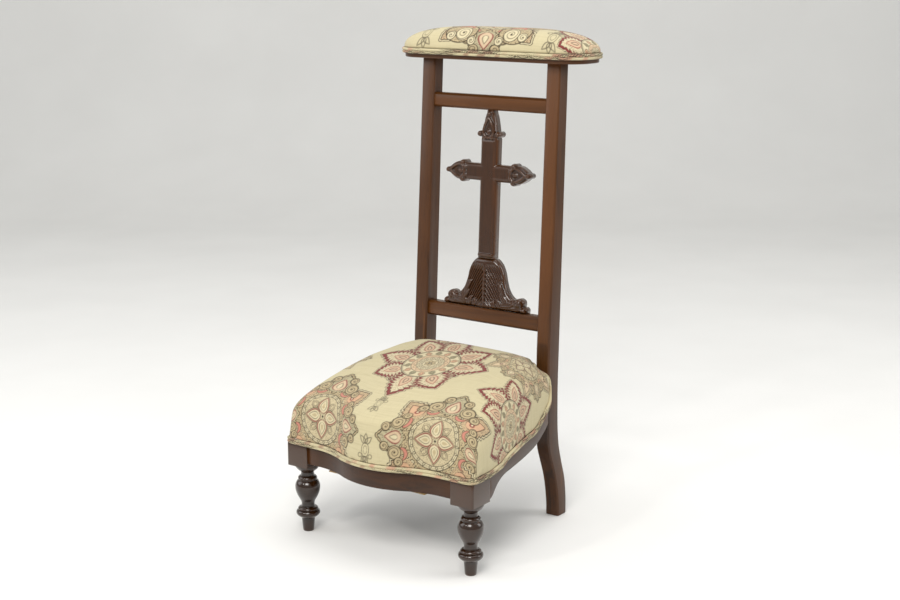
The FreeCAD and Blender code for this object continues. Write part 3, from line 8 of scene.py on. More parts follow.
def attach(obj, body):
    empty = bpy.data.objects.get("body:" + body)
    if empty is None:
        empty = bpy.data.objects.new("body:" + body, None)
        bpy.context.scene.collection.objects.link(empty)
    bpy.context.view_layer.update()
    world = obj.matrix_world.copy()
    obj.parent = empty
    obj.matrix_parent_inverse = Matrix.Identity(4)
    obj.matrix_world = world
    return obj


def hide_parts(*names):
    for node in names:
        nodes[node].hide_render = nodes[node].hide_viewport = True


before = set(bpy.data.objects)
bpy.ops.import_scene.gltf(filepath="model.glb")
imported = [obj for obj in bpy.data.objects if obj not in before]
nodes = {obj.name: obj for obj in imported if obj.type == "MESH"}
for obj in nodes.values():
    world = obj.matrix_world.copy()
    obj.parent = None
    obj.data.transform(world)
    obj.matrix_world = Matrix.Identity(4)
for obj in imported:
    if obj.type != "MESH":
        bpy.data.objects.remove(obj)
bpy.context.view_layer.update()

SHIFT = 11.14         # mm, from the working line to the middle of the depth
MM = 0.001
rng = np.random.default_rng(7)


def srgb(r, g, b):
    out = []
    for c in (r, g, b):
        c = c / 255.0
        out.append(c / 12.92 if c <= 0.04045 else ((c + 0.055) / 1.055) ** 2.4)
    return tuple(out)


# =====================================================================
# materials
# =====================================================================
def new_mat(name):
    m = bpy.data.materials.new(name)
    m.use_nodes = True
    nt = m.node_tree
    nt.nodes.clear()
    out = nt.nodes.new("ShaderNodeOutputMaterial")
    bsdf = nt.nodes.new("ShaderNodeBsdfPrincipled")
    nt.links.new(bsdf.outputs["BSDF"], out.inputs["Surface"])
    return m, nt, bsdf


def add(nt, kind, **values):
    n = nt.nodes.new(kind)
    for k, v in values.items():
        if k in n.inputs:
            n.inputs[k].default_value = v
        else:
            setattr(n, k, v)
    return n


def ramp(nt, source, stops):
    r = nt.nodes.new("ShaderNodeValToRGB")
    el = r.color_ramp.elements
    while len(el) > 1:
        el.remove(el[-1])
    el[0].position = stops[0][0]
    el[0].color = (*stops[0][1], 1)
    for p, c in stops[1:]:
        e = el.new(p)
        e.color = (*c, 1)
    nt.links.new(source, r.inputs["Fac"])
    return r.outputs["Color"]


def mix(nt, a, b, fac, mode="MIX"):
    n = nt.nodes.new("ShaderNodeMix")
    n.data_type = "RGBA"
    n.blend_type = mode
    for sock, val in ((n.inputs[0], fac), (n.inputs[6], a), (n.inputs[7], b)):
        if hasattr(val, "links") or isinstance(val, bpy.types.NodeSocket):
            nt.links.new(val, sock)
        elif isinstance(val, (int, float)):
            sock.default_value = val
        else:
            sock.default_value = (*val, 1)
    return n.outputs[2]


def coords(nt, scale, rot=(0, 0, 0)):
    tc = nt.nodes.new("ShaderNodeTexCoord")
    mp = nt.nodes.new("ShaderNodeMapping")
    mp.inputs["Scale"].default_value = scale
    mp.inputs["Rotation"].default_value = rot
    nt.links.new(tc.outputs["Object"], mp.inputs["Vector"])
    return mp.outputs["Vector"]


def math_node(nt, op, a, b=None):
    n = nt.nodes.new("ShaderNodeMath")
    n.operation = op
    for i, v in enumerate((a, b)):
        if v is None:
            continue
        if isinstance(v, bpy.types.NodeSocket):
            nt.links.new(v, n.inputs[i])
        else:
            n.inputs[i].default_value = v
    return n.outputs[0]


def wood(name, axis, dark=(28, 13, 0), mid=(66, 35, 2), light=(112, 66, 8), gloss=0.32, coat=0.12, clear=0.14):
    """Varnished brown hardwood with the grain along one axis of the object."""
    m, nt, bsdf = new_mat(name)
    long_s, cross_s = 2.2, 26.0
    sc = [cross_s] * 3
    sc["XYZ".index(axis)] = long_s
    v = coords(nt, sc)
    warp = add(nt, "ShaderNodeTexNoise", Scale=0.7, Detail=2.0)
    nt.links.new(v, warp.inputs["Vector"])
    n1 = add(nt, "ShaderNodeTexNoise", Scale=1.3, Detail=7.0, Roughness=0.62, Distortion=1.1)
    nt.links.new(v, n1.inputs["Vector"])
    base = ramp(nt, n1.outputs["Fac"], [(0.28, srgb(*dark)), (0.47, srgb(*mid)), (0.62, srgb(*mid)),
                                        (0.78, srgb(*light))])
    # fine dark pores running with the grain
    sc2 = [520.0] * 3
    sc2["XYZ".index(axis)] = 16.0
    v2 = coords(nt, sc2)
    n2 = add(nt, "ShaderNodeTexNoise", Scale=1.0, Detail=3.0, Roughness=0.7)
    nt.links.new(v2, n2.inputs["Vector"])
    pores = ramp(nt, n2.outputs["Fac"], [(0.36, (0.40, 0.36, 0.32)), (0.5, (1, 1, 1))])
    col = mix(nt, base, pores, 0.55, "MULTIPLY")
    # slow change of tone, darker where dirt gathers
    v3 = coords(nt, (6, 6, 6))
    n3 = add(nt, "ShaderNodeTexNoise", Scale=1.0, Detail=3.0)
    nt.links.new(v3, n3.inputs["Vector"])
    tone = ramp(nt, n3.outputs["Fac"], [(0.3, (0.66, 0.62, 0.60)), (0.7, (1.16, 1.12, 1.04))])
    col = mix(nt, col, tone, 0.7, "MULTIPLY")
    # painted highlight: a lighter brown on convex edges, found by pointiness
    geo = nt.nodes.new("ShaderNodeNewGeometry")
    edge = ramp(nt, geo.outputs["Pointiness"], [(0.50, (0, 0, 0)), (0.60, (1, 1, 1))])
    # painted shade: a dark brown in concave hollows and joints, found by low pointiness
    hollow_shade_ramp = ramp(nt, geo.outputs["Pointiness"], [(0.40, (1, 1, 1)), (0.49, (0, 0, 0))])
    edge_highlight_fac = nt.nodes.new("ShaderNodeRGBToBW")
    nt.links.new(edge, edge_highlight_fac.inputs[0])
    hollow_shade_fac = nt.nodes.new("ShaderNodeRGBToBW")
    nt.links.new(hollow_shade_ramp, hollow_shade_fac.inputs[0])
    # painted highlight laid on the convex edges
    col = mix(nt, col, srgb(124, 72, 22), math_node(nt, "MULTIPLY", edge_highlight_fac.outputs[0], 0.30))
    # painted shade laid in the concave hollows
    col = mix(nt, col, srgb(26, 11, 7), math_node(nt, "MULTIPLY", hollow_shade_fac.outputs[0], 0.75))
    nt.links.new(col, bsdf.inputs["Base Color"])
    rr = ramp(nt, n3.outputs["Fac"], [(0.3, (gloss, gloss, gloss)), (0.75, (gloss + 0.14,) * 3)])
    nt.links.new(rr, bsdf.inputs["Roughness"])
    bump = add(nt, "ShaderNodeBump", Strength=0.12, Distance=0.0006)
    nt.links.new(n2.outputs["Fac"], bump.inputs["Height"])
    nt.links.new(bump.outputs["Normal"], bsdf.inputs["Normal"])
    bsdf.inputs["Coat Weight"].default_value = coat
    bsdf.inputs["Coat Roughness"].default_value = clear
    bsdf.inputs["IOR"].default_value = 1.5
    bsdf.inputs["Specular IOR Level"].default_value = 0.36
    return m


def weave_fabric(name, attribute=None, base=(214, 203, 162), pitch=0.9, slub=0.35):
    """Plain weave with uneven threads; the print comes from a colour layer on the mesh."""
    m, nt, bsdf = new_mat(name)
    uv = nt.nodes.new("ShaderNodeUVMap")
    uv.uv_map = "cloth"

    def threads(sx, sy, detail):
        mp = nt.nodes.new("ShaderNodeMapping")
        mp.inputs["Scale"].default_value = (sx, sy, 1)
        nt.links.new(uv.outputs["UV"], mp.inputs["Vector"])
        n = add(nt, "ShaderNodeTexNoise", Scale=1.0, Detail=detail, Roughness=0.6)
        nt.links.new(mp.outputs["Vector"], n.inputs["Vector"])
        return n.outputs["Fac"]
    across = threads(22.0, 1100.0, 2.0)
    along = threads(1100.0, 30.0, 2.0)
    slubs = threads(14.0, 300.0, 3.0)
    # regular threads
    mpw = nt.nodes.new("ShaderNodeMapping")
    mpw.inputs["Scale"].default_value = (1000.0 / pitch, 1000.0 / pitch, 1)
    nt.links.new(uv.outputs["UV"], mpw.inputs["Vector"])
    sep = nt.nodes.new("ShaderNodeSeparateXYZ")
    nt.links.new(mpw.outputs["Vector"], sep.inputs[0])
    sx = math_node(nt, "SINE", math_node(nt, "MULTIPLY", sep.outputs["X"], 6.2832))
    sy = math_node(nt, "SINE", math_node(nt, "MULTIPLY", sep.outputs["Y"], 6.2832))
    grid = math_node(nt, "MULTIPLY", sx, sy)
    if attribute:
        at = nt.nodes.new("ShaderNodeVertexColor")
        at.layer_name = attribute
        col = at.outputs["Color"]
    else:
        col = None
    shade = ramp(nt, slubs, [(0.30, (0.74, 0.72, 0.68)), (0.50, (1, 1, 1)), (0.72, (1.08, 1.08, 1.07))])
    warm = ramp(nt, along, [(0.3, (0.93, 0.92, 0.90)), (0.7, (1.04, 1.04, 1.03))])
    if col is None:
        col = mix(nt, srgb(*base), shade, slub, "MULTIPLY")
    else:
        col = mix(nt, col, shade, slub, "MULTIPLY")
    col = mix(nt, col, warm, 0.8, "MULTIPLY")
    nt.links.new(col, bsdf.inputs["Base Color"])
    r = ramp(nt, across, [(0.2, (0.72,) * 3), (0.8, (0.92,) * 3)])
    nt.links.new(r, bsdf.inputs["Roughness"])
    h = math_node(nt, "ADD", math_node(nt, "MULTIPLY", grid, 0.35),
                  math_node(nt, "ADD", across, math_node(nt, "MULTIPLY", slubs, 1.2)))
    bump = add(nt, "ShaderNodeBump", Strength=0.30, Distance=0.0005)
    nt.links.new(h, bump.inputs["Height"])
    nt.links.new(bump.outputs["Normal"], bsdf.inputs["Normal"])
    bsdf.inputs["Sheen Weight"].default_value = 0.12
    bsdf.inputs["Sheen Roughness"].default_value = 0.5
    bsdf.inputs["Specular IOR Level"].default_value = 0.25
    return m


def coarse_cloth(name, base, dark, pitch=2.2, strength=0.6):
    """Jute or dust cloth, woven in object space."""
    m, nt, bsdf = new_mat(name)
    tc = nt.nodes.new("ShaderNodeTexCoord")
    sep = nt.nodes.new("ShaderNodeSeparateXYZ")
    nt.links.new(tc.outputs["Object"], sep.inputs[0])
    k = 2 * math.pi * 1000.0 / pitch
    sx = math_node(nt, "SINE", math_node(nt, "MULTIPLY", sep.outputs["X"], k))
    sy = math_node(nt, "SINE", math_node(nt, "MULTIPLY", sep.outputs["Y"], k))
    weave = math_node(nt, "MULTIPLY", sx, sy)
    n = add(nt, "ShaderNodeTexNoise", Scale=160.0, Detail=4.0)
    nt.links.new(tc.outputs["Object"], n.inputs["Vector"])
    f = math_node(nt, "ADD", math_node(nt, "MULTIPLY", weave, 0.25), n.outputs["Fac"])
    col = ramp(nt, f, [(0.3, srgb(*dark)), (0.7, srgb(*base))])
    nt.links.new(col, bsdf.inputs["Base Color"])
    bump = add(nt, "ShaderNodeBump", Strength=strength, Distance=0.0008)
    nt.links.new(f, bump.inputs["Height"])
    nt.links.new(bump.outputs["Normal"], bsdf.inputs["Normal"])
    bsdf.inputs["Roughness"].default_value = 0.92
    return m


def metal(name, base, rough=0.35, rust=(96, 60, 36)):
    m, nt, bsdf = new_mat(name)
    tc = nt.nodes.new("ShaderNodeTexCoord")
    n = add(nt, "ShaderNodeTexNoise", Scale=240.0, Detail=5.0)
    nt.links.new(tc.outputs["Object"], n.inputs["Vector"])
    col = ramp(nt, n.outputs["Fac"], [(0.30, srgb(*rust)), (0.44, srgb(*base)),
                                      (0.7, tuple(min(1, c * 1.15) for c in srgb(*base)))])
    nt.links.new(col, bsdf.inputs["Base Color"])
    r = ramp(nt, n.outputs["Fac"], [(0.3, (rough + 0.3,) * 3), (0.6, (rough,) * 3)])
    nt.links.new(r, bsdf.inputs["Roughness"])
    bsdf.inputs["Metallic"].default_value = 0.9
    return m


WOOD_X = wood("wood_grain_x", "X")
WOOD_Y = wood("wood_grain_y", "Y")
WOOD_Z = wood("wood_grain_z", "Z")
WOOD_CARVED = wood("wood_carved", "Z", dark=(26, 12, 2), mid=(58, 30, 4), light=(86, 46, 8), gloss=0.22, coat=0.55, clear=0.06)
WOOD_RAIL = wood("wood_seat_rail", "X", dark=(22, 10, 1), mid=(50, 25, 2), light=(80, 43, 6), gloss=0.30, coat=0.12)
WOOD_SIDE = wood("wood_side_rail", "Y", dark=(22, 10, 1), mid=(50, 25, 2), light=(80, 43, 6), gloss=0.30, coat=0.12)
WOOD_TURNED = wood("wood_turned", "Z", dark=(16, 7, 3), mid=(34, 17, 3), light=(60, 31, 7), gloss=0.15, coat=0.7, clear=0.06)
RAW = wood("raw_wood", "X", dark=(128, 92, 56), mid=(168, 128, 84), light=(196, 160, 112), gloss=0.6, coat=0.0)
JUTE = coarse_cloth("jute_webbing", (176, 146, 98), (112, 86, 52), 2.4)
BURLAP = coarse_cloth("burlap", (168, 138, 92), (96, 72, 44), 3.0)
DUST = coarse_cloth("dust_cloth", (48, 44, 40), (20, 18, 17), 1.2, 0.3)
STEEL = metal("spring_steel", (150, 146, 138))
TACK = metal("blued_tack", (74, 72, 72), 0.3, (60, 44, 34))
SCREW = metal("screw_steel", (160, 158, 150), 0.3)
CALICO = coarse_cloth("calico", (206, 192, 160), (170, 152, 118), 1.0, 0.3)


# =====================================================================
# mesh helpers
# =====================================================================
def link(obj):
    bpy.context.scene.collection.objects.link(obj)
    return obj


def mesh_object(name, verts, faces, mats, smooth=True):
    me = bpy.data.meshes.new(name)
    me.from_pydata([tuple(v) for v in verts], [], faces)
    me.update()
    for m in mats:
        me.materials.append(m)
    if smooth:
        me.polygons.foreach_set("use_smooth", [True] * len(me.polygons))
    return link(bpy.data.objects.new(name, me))


def grid_object(name, P, mats, close_u=False, close_v=False, uv=None, color=None, extra=None):
    """Surface from an array of points P[i, j]; uv in metres and colours per point."""
    nu, nv = P.shape[:2]
    iu = nu if close_u else nu - 1
    iv = nv if close_v else nv - 1
    a, b = np.meshgrid(np.arange(iu), np.arange(iv), indexing="ij")
    a2, b2 = (a + 1) % nu, (b + 1) % nv
    quads = np.stack([a * nv + b, a2 * nv + b, a2 * nv + b2, a * nv + b2], -1).reshape(-1, 4)
    me = bpy.data.meshes.new(name)
    V = P.reshape(-1, 3)
    me.vertices.add(len(V))
    me.vertices.foreach_set("co", V.astype(np.float32).ravel())
    me.loops.add(quads.size)
    me.loops.foreach_set("vertex_index", quads.astype(np.int32).ravel())
    me.polygons.add(len(quads))
    me.polygons.foreach_set("loop_start", (np.arange(len(quads)) * 4).astype(np.int32))
    me.polygons.foreach_set("loop_total", np.full(len(quads), 4, np.int32))
    me.polygons.foreach_set("use_smooth", np.ones(len(quads), bool))
    me.update(calc_edges=True)
    if uv is not None:
        layer = me.uv_layers.new(name="cloth")
        flat = uv.reshape(-1, 2)[quads.ravel()]
        layer.data.foreach_set("uv", flat.astype(np.float32).ravel())
    if color is not None:
        c = me.color_attributes.new(name="print", type="FLOAT_COLOR", domain="POINT")
        rgba = np.ones((len(V), 4), np.float32)
        rgba[:, :3] = color.reshape(-1, 3)
        c.data.foreach_set("color", rgba.ravel())
    for m in mats:
        me.materials.append(m)
    me.validate()
    return link(bpy.data.objects.new(name, me))


def polygon_distance(x, y, pts):
    """Signed distance to a closed outline, negative inside."""
    pts = np.asarray(pts, float)
    best = np.full(x.shape, 1e9)
    inside = np.zeros(x.shape, bool)
    for (ax, ay), (bx, by) in zip(pts, np.roll(pts, -1, 0)):
        ex, ey = bx - ax, by - ay
        wx, wy = x - ax, y - ay
        t = np.clip((wx * ex + wy * ey) / max(ex * ex + ey * ey, 1e-12), 0, 1)
        best = np.minimum(best, np.hypot(wx - ex * t, wy - ey * t))
        cond = (ay > y) != (by > y)
        if ey != 0:
            inside ^= cond & (x < ax + (y - ay) * ex / ey)
    return np.where(inside, -best, best)


def curve_points(pts, per=8, closed=False):
    """Round curve through the given points."""
    p = np.asarray(pts, float)
    n = len(p)
    out = []
    for i in range(n if closed else n - 1):
        p0 = p[(i - 1) % n] if closed or i > 0 else 2 * p[0] - p[1]
        p1, p2 = p[i], p[(i + 1) % n]
        p3 = p[(i + 2) % n] if closed or i + 2 < n else 2 * p[-1] - p[-2]
        for t in np.linspace(0, 1, per, endpoint=False):
            out.append(0.5 * (2 * p1 + (p2 - p0) * t + (2 * p0 - 5 * p1 + 4 * p2 - p3) * t * t
                              + (3 * p1 - p0 - 3 * p2 + p3) * t ** 3))
    if not closed:
        out.append(p[-1])
    return out


def plate(name, distance, bounds, step, front, back, mats, flip=False):
    """Closed solid over a flat outline: front and back give the points of its two faces."""
    x0, x1, y0, y1 = bounds
    xs = np.arange(x0, x1 + step, step)
    ys = np.arange(y0, y1 + step, step)
    X, Y = np.meshgrid(xs, ys, indexing="ij")
    D = distance(X, Y)
    keep = D < 0.5 * step
    near = np.abs(D) < 0.5 * step
    for _ in range(2):
        e = 0.01
        gx_ = (distance(X + e, Y) - distance(X - e, Y)) / (2 * e)
        gy_ = (distance(X, Y + e) - distance(X, Y - e)) / (2 * e)
        g2 = np.maximum(gx_ ** 2 + gy_ ** 2, 0.25)
        d = distance(X, Y)
        X = np.where(near, X - d * gx_ / g2, X)
        Y = np.where(near, Y - d * gy_ / g2, Y)
    ny = Y.shape[1]
    index = np.arange(X.size).reshape(X.shape)
    c = [index[:-1, :-1], index[1:, :-1], index[1:, 1:], index[:-1, 1:]]
    k = [keep[:-1, :-1], keep[1:, :-1], keep[1:, 1:], keep[:-1, 1:]]
    count = sum(a.astype(int) for a in k)
    faces = []
    full = count == 4
    faces += np.stack([a[full] for a in c], -1).tolist()
    for miss in range(4):
        m3 = (count == 3) & ~k[miss]
        ids = [c[j][m3] for j in range(4) if j != miss]
        faces += np.stack(ids, -1).tolist()
    used = np.unique(np.concatenate([np.array(f) for f in faces]))
    new = -np.ones(X.size, int)
    new[used] = np.arange(len(used))
    xf, yf = X.ravel()[used], Y.ravel()[used]
    df = distance(xf, yf)
    A_ = front(xf, yf, df)
    B_ = back(xf, yf, df)
    n = len(used)
    edges = {}
    F = []
    for f in faces:
        g = [int(new[i]) for i in f]
        F.append(g)
        for i in range(len(g)):
            e = (g[i], g[(i + 1) % len(g)])
            if (e[1], e[0]) in edges:
                del edges[(e[1], e[0])]
            else:
                edges[e] = True
    out = []
    for g in F:
        out.append(g[::-1] if flip else g)
        h = [i + n for i in g[::-1]]
        out.append(h[::-1] if flip else h)
    for a, b in edges:
        q_ = [b, a, a + n, b + n]
        out.append(q_[::-1] if flip else q_)
    return mesh_object(name, np.concatenate([A_, B_]), out, mats)


def apply_all(obj):
    dg = bpy.context.evaluated_depsgraph_get()
    me = bpy.data.meshes.new_from_object(obj.evaluated_get(dg))
    old = obj.data
    obj.modifiers.clear()
    obj.data = me
    if old.users == 0:
        bpy.data.meshes.remove(old)


def refined(node, material, width=0.9, angle=32):
    """A copy of a hard CAD piece with softened edges and its own material."""
    src = nodes[node]
    me = src.data.copy()
    obj = bpy.data.objects.new("wood_" + node, me)
    obj.matrix_world = src.matrix_world.copy()
    link(obj)
    bm = bmesh.new()
    bm.from_mesh(me)
    bmesh.ops.remove_doubles(bm, verts=bm.verts, dist=2e-5)
    bmesh.ops.dissolve_degenerate(bm, edges=bm.edges, dist=2e-5)
    bm.to_mesh(me)
    bm.free()
    me.materials.clear()
    me.materials.append(material)
    bev = obj.modifiers.new("edge", "BEVEL")
    bev.width = width * MM
    bev.segments = 2
    bev.limit_method = "ANGLE"
    bev.angle_limit = math.radians(angle)
    bev.harden_normals = False
    bev.use_clamp_overlap = True
    apply_all(obj)
    obj.data.polygons.foreach_set("use_smooth", [True] * len(obj.data.polygons))
    obj.data.set_sharp_from_angle(angle=math.radians(40))
    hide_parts(node)
    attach(obj, "root")
    return obj


# =====================================================================
# ornament, worked out from distances in millimetres
# =====================================================================
CREAM = np.array(srgb(194, 183, 148))
OLIVE = np.array(srgb(46, 34, 22))
BROWN = np.array(srgb(70, 44, 32))
MAUVE = np.array(srgb(128, 56, 54))
RED = np.array(srgb(140, 44, 44))
PINK = np.array(srgb(188, 126, 108))
PEACH = np.array(srgb(198, 160, 128))
SAGE = np.array(srgb(150, 143, 112))
SAND = np.array(srgb(180, 163, 128))
PALE = np.array(srgb(204, 192, 158))


def sm(d, soft=0.7):
    """1 inside (d < 0), 0 outside, with a soft edge."""
    return np.clip(0.5 - d / (2 * soft), 0, 1)


def lay(img, mask, color):
    img[:] = img * (1 - mask[..., None]) + color * mask[..., None]


def line(d, w=1.1, soft=0.6):
    return sm(np.abs(d) - w / 2, soft)


def turn(u, v, deg):
    c, s = math.cos(math.radians(deg)), math.sin(math.radians(deg))
    return c * u + s * v, -s * u + c * v


def drop(p, q, length, width, power=0.62, teeth=0, depth=0.0):
    """Distance to a drop with its round end at p = 0 and its tip at p = length."""
    t = np.clip(p / length, 0, 1)
    half = width / 2 * np.sin(np.pi * t ** power) ** 0.9
    if teeth:
        half = half * (1 + depth * (np.abs(((t * teeth) % 1) - 0.5) * 4 - 1))
    d = np.abs(q) - half
    out = np.maximum(np.maximum(-p, p - length), 0)
    return np.where(out > 0, np.hypot(out, np.maximum(np.abs(q), 0)), d * 0.8)


def speckle(u, v, size):
    return (np.sin(u / size * 6.283) * np.sin(v / size * 6.283)
            + 0.6 * np.sin((u + v) / size * 4.7 + 1.3) * np.sin((u - v) / size * 5.3))


def spiral(img, u, v, cu, cv, radius, start, hand, fill, ink, turns=1.6):
    """A scroll: a disc of one colour with a spiral line drawn in it."""
    x, y = (u - cu) * hand, v - cv
    r = np.hypot(x, y)
    inside = sm(r - radius, 0.6)
    if not np.any(inside > 0):
        return
    lay(img, inside, fill)
    lay(img, line(r - radius, 1.3), ink)
    th = (np.arctan2(y, x) - math.radians(start)) / (2 * math.pi)
    ph = r / radius * turns - th
    d = (ph - np.round(ph)) * radius / turns
    lay(img, line(d, 1.15) * sm(r - radius, 0.5), ink)
    lay(img, sm(r - radius * 0.13), ink)


def sunburst(img, u, v, su=1.0, sv=1.0, rot=0.0, fade=0.0):
    """Round flower of eight pointed leaves with rings inside."""
    u, v = turn(u / su, v / sv, rot)
    r = np.hypot(u, v)
    if r.min() > 135:
        return
    th = np.degrees(np.arctan2(v, u))
    red = MAUVE * (1 - fade) + SAND * fade
    red2 = RED * (1 - fade) + BROWN * fade
    ground = r - 82 - 5 * np.cos(np.radians(th * 16)) - 4 * np.cos(np.radians(th * 3 + 40))
    lay(img, sm(ground - 3.5), PALE)
    lay(img, line(ground - 3.5, 1.2), OLIVE)
    lay(img, sm(ground), red)
    lay(img, line(ground, 1.2), OLIVE)
    # smaller lobes between the leaves
    for k in range(8):
        p, q = turn(u, v, k * 45 + 22.5)
        d = drop(p - 46, q, 44, 30, 0.8)
        lay(img, sm(d), red)
        lay(img, line(d, 1.2), OLIVE)
        d2 = drop(p - 56, q, 25, 15, 0.8)
        lay(img, sm(d2), PALE)
        lay(img, line(d2, 1.2), OLIVE)
    for k in range(8):
        p, q = turn(u, v, k * 45)
        big = 1.0 + (0.14 if k % 2 == 0 else 0.0)
        bend = q + 5.0 * np.sin((p - 50) / 30.0) * (1 if k % 2 else -1)
        d = drop(p - 44, bend, 72 * big, 64, 0.72, 8, 0.13)
        lay(img, sm(d - 2.4), PALE)
        lay(img, line(d - 2.4, 1.3), OLIVE)
        lay(img, sm(d), red)
        lay(img, line(d + 1.6, 0.9), OLIVE)
        d2 = drop(p - 50, bend, 58 * big, 47, 0.72, 8, 0.26)
        lay(img, sm(d2), PALE)
        lay(img, line(d2, 1.3), OLIVE)
        filigree(img, p, q, sm(d2 + 2.0), MAUVE * 0.5 + BROWN * 0.5, 6.5, 0.75, 0.5 * k)
        d3 = drop(p - 58, bend, 36, 21, 0.72)
        lay(img, sm(d3), PALE * 0.6 + PINK * 0.4)
        lay(img, line(d3, 1.4), red2)
        d4 = drop(p - 64, bend, 18, 8, 0.72)
        lay(img, line(d4, 1.3), OLIVE)
    u, v, r = u / 0.93, v / 0.93, r / 0.93
    lay(img, sm(r - 61), PALE)
    lay(img, line(r - 61, 2.0), OLIVE)
    lay(img, line(r - 58, 0.9), OLIVE)
    # ring of hearts
    for k in range(14):
        p, q = turn(u, v, k * 360 / 14 + 6)
        d = drop(p - 41, q, 16, 13, 0.7)
        lay(img, sm(d), PEACH if k % 2 else SAGE)
        lay(img, line(d, 0.9), OLIVE)
        lay(img, line(drop(p - 44, q, 9, 6, 0.7), 0.8), BROWN)
    lay(img, sm(r - 40), PEACH * 0.55 + PALE * 0.45)
    lay(img, line(r - 40, 1.3), OLIVE)
    scallop = r - 33.5 - 2.2 * np.cos(np.radians(th * 14))
    lay(img, line(scallop, 1.0), BROWN)
    lay(img, sm(r - 29), PALE)
    lay(img, line(r - 29, 1.1), OLIVE)
    for k in range(12):
        p, q = turn(u, v, k * 30)
        d = np.hypot(p - 22.5, q) - 4.6
        lay(img, line(d, 1.0), OLIVE)
        lay(img, sm(d + 3.0), BROWN)
    lay(img, line(r - 16.5, 1.0), BROWN)
    for k in range(6):
        p, q = turn(u, v, k * 60)
        d = drop(p - 3.0, q, 10.5, 8.5, 0.9)
        lay(img, sm(d), SAND)
        lay(img, line(d, 0.9), OLIVE)
    lay(img, sm(r - 3.6), OLIVE)
    lay(img, sm(r - 1.8), PALE)


